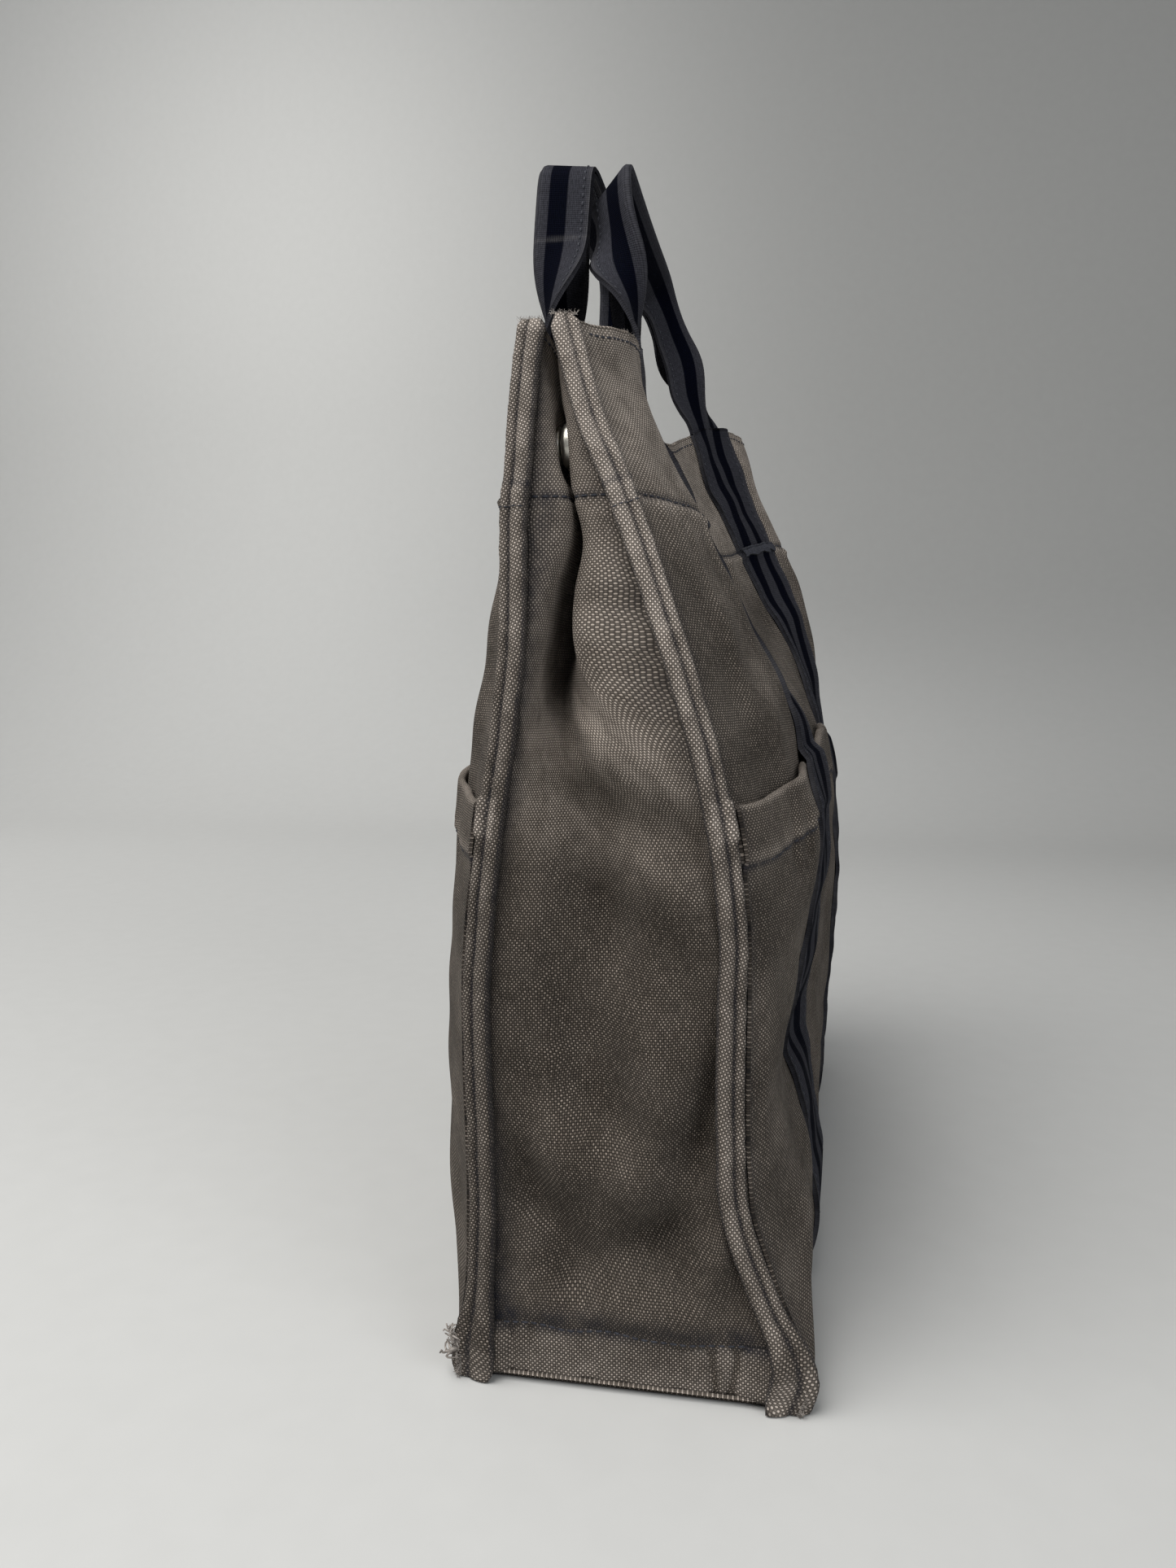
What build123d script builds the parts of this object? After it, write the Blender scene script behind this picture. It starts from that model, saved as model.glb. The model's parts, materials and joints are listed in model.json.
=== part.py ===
"""Canvas tote bag with webbing straps, folded webbing handles and press fasteners.

Millimetres, +Z up.  X runs along the bag from the left gusset to the right one, the front wall is
at -Y and the back wall at +Y.  The origin is the centre of the bottom's resting face.
"""
from build123d import *
import math
import os

# ---------------------------------------------------------------- driving dimensions
bag_length = 350.0          # seam to seam along the floor
base_width = 104.0          # front seam to back seam along the floor
mouth_height = 350.0        # floor to the top edge
end_lean = 15.0             # how far each end leans in at the top
mouth_pinch = 27.3          # where an end's two seams meet at the top, towards the back

canvas = 1.2                # canvas thickness
webbing = 1.8               # webbing thickness
layer_gap = 0.3             # between layers that are sewn together
seam_gap = 0.8              # between pieces of different bodies
bottom_thickness = 2.0
bottom_ply = 0.3            # sewn edge above the bottom

hem_depth = 60.0            # doubled band inside the mouth
pocket_height = 190.0       # floor to the pocket's mouth
pocket_foot = 10.0          # floor to the pocket's lower edge
pocket_gape = 9.0           # how far each pocket mouth stands open
pocket_inset = 4.0          # pocket's side edges, in from the wall's

strap_width = 40.0
strap_spacing = 144.0       # centre to centre
strap_foot = 14.0           # floor to the strap's lower end
tack_height = 3.0           # bar tack, along Z
tack_thickness = 1.0

handle_width = 20.0         # the webbing folded once lengthwise
handle_thickness = 4.0
handle_height = 92.0        # pivot to the top of the arch
handle_gap = 5.0            # pivot above the top edge
handle_taper = 6.0          # how far each leg leans in towards the other
handle_shoulder = 26.0      # radius of the arch's shoulders
handle_twist = 0.75         # share of the height over which the webbing turns a quarter
front_handle_lean = 24.0    # how far the front handle's top leans towards the back
back_handle_lean = -5.0     # the back handle's top leans a little towards the front

welt_width = 10.0           # double ridge at each upright seam
welt_depth = 4.4
welt_valley = 0.9           # depth of the stitched valley between its two cords
welt_foot = 1.4             # floor to the ridge's lower end
band_height = 18.0          # seam band at the foot of each gusset
band_thickness = 2.2
band_margin = 8.0           # band's ends, in from the base seams

pleat_depth = 60.0          # how far the gusset folds in at the top
pleat_closed = 2.2          # half gap inside the closed pleat
turn_run = 70.0             # length over which a wall swings out from its seam

snap_drop = 42.0            # top edge to the fastener's centre
snap_inset = 13.0           # fastener's centre, in from the cloth's edge
snap_diameter = 15.0
socket_thickness = 3.8
cap_thickness = 2.0
stud_flange_diameter = 12.5
stud_flange_thickness = 1.7
stud_diameter = 4.2
stud_length = 2.6
stud_clearance = 0.9        # radial, lets the stud leave along the wall's arc
rivet_diameter = 4.0
rivet_clearance = 0.05
snap_face_gap = 0.5         # between socket and stud flange
snap_window = 1.5           # clearance round a fastener in the gusset
snap_rise = 9.0             # height a fastener gains as its wall swings out

FRONT = "front"
BACK = "back"
OUT = {FRONT: -1.0, BACK: 1.0}

# At the top the two ridges of an end stand side by side.
seam_reach = base_width / 2 - (welt_width + seam_gap) / 2

# Share of the height, and how far the line stands in (+) or out (-) from the base seam there.
seam_line = {
    FRONT: [(0.0, 0.0), (0.04, -3.0), (0.11, 7.0), (0.18, 16.0), (0.27, 18.0), (0.47, 19.0),
            (0.61, 29.0), (0.76, 46.0), (0.90, 64.0), (1.0, seam_reach + mouth_pinch)],
    BACK: [(0.0, 0.0), (0.16, 2.0), (0.39, 0.0), (0.54, 5.0), (0.69, 11.0), (0.83, 11.5),
           (1.0, seam_reach - mouth_pinch)],
}
belly_line = {
    FRONT: [(0.0, 0.0), (0.06, -6.0), (0.14, -9.0), (0.30, -12.0), (0.43, -11.0), (0.54, -6.0),
            (0.69, 5.0), (0.81, 20.0), (0.88, 34.0), (1.0, 50.0)],
    BACK: [(0.0, 0.0), (0.05, -12.0), (0.14, -20.0), (0.30, -22.0), (0.43, -20.0), (0.54, -16.0),
           (0.68, -8.0), (0.83, 1.0), (1.0, 8.0)],
}
sway_line = [(0.0, 0.0), (0.3, 3.0), (0.5, 6.0), (0.7, 10.0), (0.85, 12.0), (1.0, 11.0)]
pleat_line = [(0.0, 0.0), (0.34, 0.0), (0.55, 0.34), (0.70, 0.70), (0.86, 0.92), (1.0, 1.0)]
close_line = [(0.0, 0.0), (0.46, 0.0), (0.62, 0.55), (0.76, 0.95), (0.86, 1.0), (1.0, 1.0)]

level_shares = [0.02, 0.04, 0.06, 0.09, 0.12, 0.18, 0.24, 0.30, 0.37, 0.43, 0.49, 0.61, 0.66, 0.71, 0.76,
                0.80, 0.86, 0.90, 0.95]
strap_step = 8.0            # height over which a strap steps down off the pocket's mouth


# ---------------------------------------------------------------- shape of the bag
def along(line, share):
    """A smooth curve through a line's stations."""
    share = min(max(share, line[0][0]), line[-1][0])
    last = len(line) - 1
    k = 0
    while k < last - 1 and share > line[k + 1][0]:
        k += 1

    def slope(i):
        low = line[max(i - 1, 0)]
        high = line[min(i + 1, last)]
        return (high[1] - low[1]) / (high[0] - low[0])

    run = line[k + 1][0] - line[k][0]
    t = (share - line[k][0]) / run
    rest = 1.0 - t
    start = line[k][1] * (1.0 + 2.0 * t) * rest**2 + slope(k) * run * t * rest**2
    stop = line[k + 1][1] * (1.0 + 2.0 * rest) * t**2 - slope(k + 1) * run * rest * t**2
    return start + stop


def levels(low, high):
    """Heights at which outlines are drawn: the same in every layer, so that the layers nest."""
    marks = [pocket_foot, strap_foot, pocket_height, pocket_height + strap_step, mouth_height - hem_depth]
    inner = sorted(set(marks + [share * mouth_height for share in level_shares]))
    return [low] + [z for z in inner if low < z < high] + [high]


def seam_x(z):
    return bag_length / 2 - end_lean * (z / mouth_height) ** 1.5


def seam_y(side, z):
    return OUT[side] * (base_width / 2 - along(seam_line[side], z / mouth_height))


def belly_y(side, x, z):
    y = OUT[side] * (base_width / 2 - along(belly_line[side], z / mouth_height))
    if side == FRONT:
        swing = math.sin(math.pi / 2 * min(max(x / (bag_length / 3), -1.0), 1.0))
        y -= along(sway_line, z / mouth_height) * swing
    return y


def cloth_edge(z):
    """Where the cloth of a wall or gusset meets the ridge."""
    return seam_x(z) - welt_depth / 2 - seam_gap - canvas / 2


def wall_y(side, x, z):
    """Inner face of a wall."""
    edge = seam_y(side, z) + OUT[side] * (welt_width / 2 - 2 * canvas)
    t = min(max((cloth_edge(z) - abs(x)) / turn_run, 0.0), 1.0)
    return edge + (belly_y(side, x, z) - edge) * (1.0 - (1.0 - t) ** 2)


def wall_point(side, x, z, offset):
    """A point a given distance outside a wall's inner face."""
    step = 0.5
    low = max(x - step, -cloth_edge(z))
    high = min(x + step, cloth_edge(z))
    slope = (wall_y(side, high, z) - wall_y(side, low, z)) / (high - low)
    size = math.hypot(slope, 1.0)
    return (x - OUT[side] * slope / size * offset, wall_y(side, x, z) + OUT[side] * offset / size)


def wall_columns(z, inset):
    """Places along X where a wall's outline has a corner."""
    edge = cloth_edge(z) - inset
    strap = strap_spacing / 2
    outer = strap + strap_width / 2
    inner = strap - strap_width / 2
    middle = [inner * share for share in (0.0, 0.25, 0.5, 0.75, 1.0)]
    end = [outer + (edge - outer) * share for share in (0.14, 0.28, 0.42, 0.56, 0.7, 0.85, 1.0)]
    half = middle + [strap, outer] + end
    return [-x for x in reversed(half[1:])] + half


def loft_between(outline, heights):
    wires = [Wire.make_polygon([(x, y, z) for x, y in outline(z)], close=True) for z in heights]
    return Solid.make_loft(wires, True)


def wall_layer(side, low, high, inner, outer, columns):
    """A layer of a wall, between two offsets that may change over it."""

    def outline(z):
        near = [wall_point(side, x, z, inner(x, z)) for x in columns(z)]
        far = [wall_point(side, x, z, outer(x, z)) for x in columns(z)]
        return near + far[::-1]

    return loft_between(outline, levels(low, high))


# ---------------------------------------------------------------- walls
def panel(side):
    low = bottom_thickness + bottom_ply + seam_gap
    return wall_layer(side, low, mouth_height, lambda x, z: 0.0, lambda x, z: canvas,
                      lambda z: wall_columns(z, 0.0))


def wall_hem(side):
    return wall_layer(side, mouth_height - hem_depth, mouth_height,
                      lambda x, z: -layer_gap - canvas, lambda x, z: -layer_gap,
                      lambda z: wall_columns(z, 3 * canvas))


def gape(x, z):
    """How far a pocket stands off its wall: open at the mouth, sewn down at straps and sides."""
    inner = strap_spacing / 2 - strap_width / 2
    outer = strap_spacing / 2 + strap_width / 2
    edge = cloth_edge(z) - pocket_inset
    place = abs(x)
    if place < inner:
        share = math.cos(math.pi / 2 * place / inner)
    elif place <= outer:
        share = 0.0
    else:
        share = math.sin(math.pi * min((place - outer) / (edge - outer), 1.0))
    rise = max((z - pocket_foot) / (pocket_height - pocket_foot), 0.0)
    return pocket_gape * max(share, 0.0) * rise**1.5


def pocket(side):
    base = canvas + layer_gap
    return wall_layer(side, pocket_foot, pocket_height, lambda x, z: base + gape(x, z),
                      lambda x, z: base + gape(x, z) + canvas, lambda z: wall_columns(z, pocket_inset))


def strap_base(z):
    """What lies under a strap: the wall, and the pocket up to its mouth."""
    ply = canvas + layer_gap
    share = min(max((pocket_height + strap_step - z) / strap_step, 0.0), 1.0)
    return ply + ply * share


def strap(side, centre):
    half = strap_width / 2
    columns = [centre - half, centre, centre + half]

    def outline(z):
        near = [wall_point(side, x, z, strap_base(z)) for x in columns]
        far = [wall_point(side, x, z, strap_base(z) + webbing) for x in columns]
        return near + far[::-1]

    return loft_between(outline, levels(strap_foot, mouth_height))


def tack(side, centre):
    half = strap_width / 2 - 1.0
    low = mouth_height - hem_depth - tack_height / 2
    base = canvas + webbing + 2 * layer_gap + layer_gap
    return wall_layer(side, low, low + tack_height, lambda x, z: base, lambda x, z: base + tack_thickness,
                      lambda z: [centre - half, centre, centre + half])


def welt(side, end):
    """Double ridge: two cords with a stitched valley between them."""
    half = welt_width / 2
    deep = welt_depth / 2
    ring = [(-half, 0.0), (-0.8 * half, -0.8 * deep), (-0.45 * half, -deep), (0.0, welt_valley - deep),
            (0.45 * half, -deep), (0.8 * half, -0.8 * deep), (half, 0.0), (0.8 * half, 0.8 * deep),
            (0.45 * half, deep), (0.0, deep - welt_valley), (-0.45 * half, deep), (-0.8 * half, 0.8 * deep)]

    def outline(z):
        return [(end * (seam_x(z) - b), seam_y(side, z) + a) for a, b in ring]

    return loft_between(outline, levels(welt_foot, mouth_height))


# ---------------------------------------------------------------- gussets and bottom
pleat_steps = [1.0, 0.94, 0.86, 0.74, 0.58, 0.4, 0.22, 0.1]


def gusset_line(z):
    """Middle of the gusset's cloth at one height, from the front seam to the back seam."""
    share = z / mouth_height
    front = seam_y(FRONT, z) + welt_width / 2 - canvas
    back = seam_y(BACK, z) - welt_width / 2 + canvas
    half = (back - front) / 2
    middle = (back + front) / 2
    closed = along(close_line, share)
    depth = pleat_depth * along(pleat_line, share)
    points = []
    for a in [-s for s in pleat_steps] + [0.0] + pleat_steps[::-1]:
        size = abs(a)
        narrow = pleat_closed * min(size * 4.0, 1.0) + (half - pleat_closed) * size**8
        width = (1.0 - closed) * half * size + closed * narrow
        points.append((cloth_edge(z) - canvas / 2 - depth * (1.0 - size**1.3), middle + math.copysign(width, a)))
    return points


def beside(points, offset):
    """The same line moved sideways."""
    moved = []
    for i, (x, y) in enumerate(points):
        x0, y0 = points[max(i - 1, 0)]
        x1, y1 = points[min(i + 1, len(points) - 1)]
        size = math.hypot(x1 - x0, y1 - y0)
        moved.append((x - (y1 - y0) / size * offset, y + (x1 - x0) / size * offset))
    return moved


def gusset_layer(end, low, high, inner, outer, trim=0):
    def outline(z):
        line = gusset_line(z)
        near = beside(line, inner)[trim:len(line) - trim]
        far = beside(line, outer)[trim:len(line) - trim]
        return [(end * x, y) for x, y in near + far[::-1]]

    return loft_between(outline, levels(low, high))


snap_height = mouth_height - snap_drop


def snap_x(end):
    return end * (cloth_edge(snap_height) - snap_inset)


def snap_y():
    return (seam_y(FRONT, snap_height) + seam_y(BACK, snap_height)) / 2


def windows(end):
    """Room for both fasteners to leave through the gusset as the walls swing out."""
    size = snap_diameter + 2 * snap_window
    low = snap_height - size / 2
    high = snap_height + size / 2 + snap_rise
    deep = 2 * base_width
    return Pos(snap_x(end), 0, (low + high) / 2) * Box(size, deep, high - low)


def gusset(end):
    low = bottom_thickness + bottom_ply
    return gusset_layer(end, low, mouth_height, -canvas / 2, canvas / 2) - windows(end)


def gusset_hem(end):
    inner = canvas / 2 + layer_gap
    low = mouth_height - hem_depth
    return gusset_layer(end, low, mouth_height, inner, inner + canvas, trim=2) - windows(end)


def bottom_panel():
    length = 2 * (seam_x(0.0) - welt_depth / 2 - seam_gap)
    width = base_width - 2 * (seam_gap + canvas)
    return Pos(0, 0, bottom_thickness / 2) * Box(length, width, bottom_thickness)


def gusset_band(end):
    low = bottom_thickness + bottom_ply
    face = cloth_edge(band_height) + canvas / 2 + layer_gap
    width = base_width - 2 * band_margin - welt_width
    return Pos(end * (face + band_thickness / 2), 0, low + band_height / 2) * Box(band_thickness, width, band_height)


# ---------------------------------------------------------------- handles
def handle_foot(side, end):
    """Where a handle's leg meets the wall, at the pivot."""
    x = end * strap_spacing / 2
    offset = canvas + layer_gap + webbing / 2
    point = wall_point(side, x, mouth_height, offset)
    return Vector(x, point[1], mouth_height + handle_gap)


def handle(side):
    """Folded webbing: flat against the wall at both feet, turned flat side up over the arch."""
    left = handle_foot(side, -1)
    right = handle_foot(side, 1)
    lean = front_handle_lean if side == FRONT else back_handle_lean
    height = handle_height - handle_thickness / 2
    top_left = left.X + handle_taper
    top_right = right.X - handle_taper
    corners = [(left.X, 0), (top_left, height), (top_right, height), (right.X, 0)]
    path = FilletPolyline(*corners, radius=handle_shoulder)
    steps = 44
    points = []
    for i in range(steps + 1):
        flat = path @ (i / steps)
        share = (flat.X - left.X) / (right.X - left.X)
        foot_y = left.Y + (right.Y - left.Y) * share
        top_y = (left.Y + right.Y) / 2 + lean
        rise = flat.Y / height
        points.append(Vector(flat.X, foot_y * (1.0 - rise) + top_y * rise, left.Z + flat.Y))
    ring = [(-1.0, -0.5), (-0.85, -1.0), (0.85, -1.0), (1.0, -0.5), (1.0, 0.5), (0.85, 1.0), (-0.85, 1.0),
            (-1.0, 0.5)]
    sections = []
    for i, centre in enumerate(points):
        tangent = (points[min(i + 1, steps)] - points[max(i - 1, 0)]).normalized()
        outward = tangent.cross(Vector(0, -1, 0)).normalized()
        across = outward.cross(tangent)
        turn = math.pi / 2 * (1.0 - min((centre.Z - left.Z) / (handle_twist * height), 1.0))
        wide = across * math.cos(turn) + outward * math.sin(turn)
        thick = tangent.cross(wide)
        a = wide * (handle_width / 2)
        b = thick * (handle_thickness / 2)
        sections.append(Wire.make_polygon([centre + a * p + b * q for p, q in ring], close=True))
    return Solid.make_loft(sections, True)


# ---------------------------------------------------------------- press fasteners
def disc(diameter, thickness):
    """A dished metal disc about +Z, with its back face on the XY plane."""
    body = Cylinder(diameter / 2, thickness, align=(Align.CENTER, Align.CENTER, Align.MIN))
    return fillet(body.edges().group_by(Axis.Z)[-1], min(thickness, diameter / 2) * 0.45)


def facing(end, y, towards_back):
    """Places a piece built on +Z so that it faces the back wall or the front one."""
    turn = -90 if towards_back else 90
    return Pos(snap_x(end), y, snap_height) * Rot(turn, 0, 0)


def snap_plies():
    """Cloth held between the two halves of a fastener: canvas and its hem."""
    return 2 * canvas + 3 * layer_gap


def snap_socket(end):
    body = disc(snap_diameter, socket_thickness)
    bore = Cylinder(stud_diameter / 2 + stud_clearance, 2 * socket_thickness)
    shank = Cylinder(rivet_diameter / 2 + rivet_clearance, 2.0)
    mouth = snap_y() + snap_face_gap / 2
    return facing(end, mouth - socket_thickness, True) * (body - bore - shank)


def snap_cap(end):
    back = snap_y() + snap_face_gap / 2 - socket_thickness
    rivet = Cylinder(rivet_diameter / 2, snap_plies(), align=(Align.CENTER, Align.CENTER, Align.MAX))
    return facing(end, back - snap_plies(), False) * (disc(snap_diameter, cap_thickness) + rivet)


def snap_stud(end):
    face = snap_y() + 1.5 * snap_face_gap + stud_flange_thickness
    flange = disc(stud_flange_diameter, stud_flange_thickness)
    ball = Cylinder(stud_diameter / 2, stud_flange_thickness + stud_length,
                    align=(Align.CENTER, Align.CENTER, Align.MIN))
    ball = fillet(ball.edges().group_by(Axis.Z)[-1], stud_diameter * 0.3)
    return facing(end, face, False) * (flange + ball)


def snap_post(end):
    face = snap_y() + 1.5 * snap_face_gap + stud_flange_thickness
    rivet = Cylinder(rivet_diameter / 2, snap_plies(), align=(Align.CENTER, Align.CENTER, Align.MAX))
    return facing(end, face + snap_plies(), True) * (disc(snap_diameter, cap_thickness) + rivet)


# ---------------------------------------------------------------- every node
ENDS = {"left": -1, "right": 1}


def nodes():
    made = {"bottom_panel": bottom_panel()}
    for end_name, end in ENDS.items():
        made[end_name + "_gusset"] = gusset(end)
        made[end_name + "_hem"] = gusset_hem(end)
        made[end_name + "_band"] = gusset_band(end)
        made[end_name + "_snap_cap"] = snap_cap(end)
        made[end_name + "_snap_socket"] = snap_socket(end)
        made[end_name + "_snap_stud"] = snap_stud(end)
        made[end_name + "_snap_post"] = snap_post(end)
    for side in (FRONT, BACK):
        made[side + "_panel"] = panel(side)
        made[side + "_hem"] = wall_hem(side)
        made[side + "_pocket"] = pocket(side)
        made[side + "_handle"] = handle(side)
        for end_name, end in ENDS.items():
            made[side + "_" + end_name + "_strap"] = strap(side, end * strap_spacing / 2)
            made[side + "_" + end_name + "_tack"] = tack(side, end * strap_spacing / 2)
            made[side + "_" + end_name + "_welt"] = welt(side, end)
    return made


os.makedirs("parts", exist_ok=True)
for node, shape in nodes().items():
    shape.label = node
    export_step(shape, "parts/" + node + ".step")
    print(node, round(shape.volume, 1))
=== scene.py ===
# %% [markdown]
# # A worn canvas tote bag
# The bag stands on a pale floor and shows one folded end. Every cloth piece is rebuilt here as
# real cloth, with its ribs, hems, stitches and frayed ends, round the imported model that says
# where each piece sits and what it moves with. Shapes are worked out in millimetres and turned
# into metres only when a mesh is made.

# %% Load the frame
import json
import math

import bpy
import numpy as np
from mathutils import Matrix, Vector
from mathutils.bvhtree import BVHTree


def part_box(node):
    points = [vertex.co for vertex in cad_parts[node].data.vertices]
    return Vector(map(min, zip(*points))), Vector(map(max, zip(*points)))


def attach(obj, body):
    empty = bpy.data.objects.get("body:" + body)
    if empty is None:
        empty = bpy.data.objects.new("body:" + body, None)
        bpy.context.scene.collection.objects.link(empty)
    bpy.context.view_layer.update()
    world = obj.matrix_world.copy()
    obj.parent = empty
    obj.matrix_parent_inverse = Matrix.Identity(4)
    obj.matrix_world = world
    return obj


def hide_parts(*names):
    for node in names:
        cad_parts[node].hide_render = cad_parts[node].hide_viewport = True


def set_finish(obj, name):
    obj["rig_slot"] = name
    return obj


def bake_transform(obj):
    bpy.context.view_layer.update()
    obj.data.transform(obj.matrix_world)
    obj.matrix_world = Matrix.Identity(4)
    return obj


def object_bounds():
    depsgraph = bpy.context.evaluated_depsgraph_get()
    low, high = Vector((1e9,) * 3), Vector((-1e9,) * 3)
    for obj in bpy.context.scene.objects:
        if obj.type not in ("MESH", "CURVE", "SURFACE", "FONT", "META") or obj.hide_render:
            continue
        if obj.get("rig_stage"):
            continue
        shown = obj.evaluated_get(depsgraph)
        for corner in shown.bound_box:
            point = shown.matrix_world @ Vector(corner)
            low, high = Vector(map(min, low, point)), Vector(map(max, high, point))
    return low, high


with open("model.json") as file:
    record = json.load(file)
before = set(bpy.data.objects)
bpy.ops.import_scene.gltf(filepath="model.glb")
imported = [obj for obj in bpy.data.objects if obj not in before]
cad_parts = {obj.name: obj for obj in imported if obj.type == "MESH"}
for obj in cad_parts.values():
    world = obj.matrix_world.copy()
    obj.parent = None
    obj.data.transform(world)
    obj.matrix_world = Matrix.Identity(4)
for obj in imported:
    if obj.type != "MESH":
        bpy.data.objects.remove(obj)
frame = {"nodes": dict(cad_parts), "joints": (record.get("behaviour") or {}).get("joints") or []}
cad_low, cad_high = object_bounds()
nodes = frame["nodes"]
joints = {joint["name"]: joint for joint in frame["joints"]}
MM = 0.001
OUT = {"front": -1.0, "back": 1.0}
END = {"left": -1.0, "right": 1.0}
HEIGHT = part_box("front_panel")[1].z / MM
print("frame:", len(nodes), "nodes, mouth at", round(HEIGHT, 1), "mm")

# %% [markdown]
# ## The view
# The eye is close to the end of the bag and a little above its middle, so the end looks tall
# and the handles run away from it. A short lens from near gives that; a long lens from far
# would flatten the bag. The camera comes first, because every later choice is judged from it.

# %% Camera
EYE = Vector((-0.521, -0.0564, 0.230))
YAW, PITCH = math.radians(11.0), math.radians(5.0)
sight = Vector((math.cos(YAW) * math.cos(PITCH), math.sin(YAW) * math.cos(PITCH), -math.sin(PITCH)))
lens = bpy.data.cameras.new("eye")
lens.sensor_width = 36.0
lens.lens = 36.0 * 1400.0 / 1927.0
lens.clip_start = 0.01
eye = bpy.data.objects.new("eye", lens)
eye.location = EYE
eye.rotation_mode = "QUATERNION"
eye.rotation_quaternion = sight.to_track_quat("-Z", "Y")
scene = bpy.context.scene
scene.collection.objects.link(eye)
scene.camera = eye
scene.view_settings.view_transform = "Standard"
print("camera: lens", round(lens.lens, 2), "mm")

# %% [markdown]
# ## Small tools for curves and waves
# Cloth never runs straight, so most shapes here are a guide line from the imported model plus
# gentle waves. One helper draws a smooth curve through a few stations, one makes an aimless
# wave from a seed, and one raises a list of long soft folds.

# %% Curves, waves and folds
def step(low, high, value):
    """0 below low, 1 above high, and a smooth turn between."""
    share = np.clip((np.asarray(value, float) - low) / (high - low), 0.0, 1.0)
    return share * share * (3.0 - 2.0 * share)


def through(stations, values, at):
    """A smooth curve through values given at rising stations; values may be rows of numbers."""
    stations, values = np.asarray(stations, float), np.asarray(values, float)
    slopes = np.gradient(values, stations, axis=0)
    at = np.clip(np.asarray(at, float), stations[0], stations[-1])
    k = np.clip(np.searchsorted(stations, at) - 1, 0, len(stations) - 2)
    run = stations[k + 1] - stations[k]
    t = (at - stations[k]) / run
    if values.ndim > 1:
        run, t = run[..., None], t[..., None]
    near = values[k] * (1 + 2 * t) * (1 - t) ** 2 + slopes[k] * run * t * (1 - t) ** 2
    far = values[k + 1] * (3 - 2 * t) * t**2 - slopes[k + 1] * run * (1 - t) * t**2
    return near + far


def wander(t, period, seed):
    """An aimless smooth wave, mostly between -1 and 1."""
    draw = np.random.default_rng(seed)
    total = 0.0
    for _ in range(4):
        turns = 2 * np.pi * np.asarray(t) / (period * draw.uniform(0.6, 1.8))
        total = total + np.sin(turns + draw.uniform(0, 6.3))
    return total / 2.4


def folds(p, q, rows):
    """Long soft ridges: centre p and q, half length, half width, slope in degrees, height."""
    total = np.zeros(np.broadcast(p, q).shape)
    for p0, q0, long, short, slope, height in rows:
        c, s = math.cos(math.radians(slope)), math.sin(math.radians(slope))
        a, b = (p - p0) * c + (q - q0) * s, (q - q0) * c - (p - p0) * s
        total += height * np.exp(-(a / long) ** 2 - (b / short) ** 2)
    return total


# %% [markdown]
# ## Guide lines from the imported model
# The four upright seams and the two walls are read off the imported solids: the middle of each
# seam's ridge at every height, and the place where a ray from outside meets a wall. Reading
# them keeps the cloth on its solid whenever the solid changes.

# %% Seam lines and wall faces
BACK_SLACK = 3.6
CLOTH_INSET = 3.6


def slack_share(z):
    """How much of the back wall's slack shows at each height."""
    return 0.4 + 0.6 * step(0, 40, z) - 0.8 * step(300, 345, z)


def seam_reader(side):
    """x (without sign) and y of an upright seam at any height."""
    points = np.array([v.co for v in nodes[side + "_left_welt"].data.vertices]) / MM
    heights = np.unique(points[:, 2].round(1))
    rings = [points[abs(points[:, 2] - z) < 0.06][:, :2] for z in heights]
    keep = [i for i, ring in enumerate(rings) if np.ptp(ring[:, 1]) > 8.0]
    centres = np.array([(rings[i].min(0) + rings[i].max(0)) / 2 for i in keep])
    inwards = np.array([0.0, -BACK_SLACK if side == "back" else 0.0])
    line = np.abs(centres) * [1, 0] + centres * [0, 1]
    return lambda z: through(heights[keep], line, z) + inwards * slack_share(z)[..., None]


seam = {side: seam_reader(side) for side in OUT}


def cloth_edge(z):
    """Half the width of the wall's cloth at each height."""
    return seam["front"](z)[..., 0] - CLOTH_INSET


def wall_reader(side):
    """Outer face of a wall: y for any x and height."""
    mesh = nodes[side + "_panel"].data
    tree = BVHTree.FromPolygons([v.co for v in mesh.vertices], [p.vertices for p in mesh.polygons])
    heights = np.unique(np.array([v.co.z for v in mesh.vertices]).round(4)) / MM
    shares = np.linspace(-0.995, 0.995, 141)
    rows = []
    for z in heights:
        aim = min(max(z, heights[0] + 0.1), heights[-1] - 0.1)
        row = []
        for share in shares:
            start = Vector((share * float(cloth_edge(aim)), OUT[side] * 300.0, aim)) * MM
            row.append(tree.ray_cast(start, Vector((0, -OUT[side], 0)))[0].y / MM)
        rows.append(row)
    table = np.array(rows)
    for _ in range(6):
        padded = np.pad(table, ((0, 0), (1, 1)), "reflect", reflect_type="odd")
        table = (padded[:, :-2] + 2 * padded[:, 1:-1] + padded[:, 2:]) / 4
    fine = np.linspace(heights[0], heights[-1], 176)
    table = through(heights, table, fine)
    for _ in range(4):
        padded = np.pad(table, ((1, 1), (0, 0)), "reflect", reflect_type="odd")
        table = (padded[:-2] + 2 * padded[1:-1] + padded[2:]) / 4

    def face(x, z):
        column = np.clip((x / cloth_edge(z) + 0.995) / 1.99 * 140, 0, 139.999)
        line = np.clip((z - fine[0]) / (fine[-1] - fine[0]) * 175, 0, 174.999)
        i, j = line.astype(int), column.astype(int)
        a, b = line - i, column - j
        return ((table[i, j] * (1 - b) + table[i, j + 1] * b) * (1 - a)
                + (table[i + 1, j] * (1 - b) + table[i + 1, j + 1] * b) * a)

    return face


flat_face = {side: wall_reader(side) for side in OUT}
print("seams at half height:", {s: seam[s](HEIGHT / 2).round(1).tolist() for s in OUT})

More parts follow.
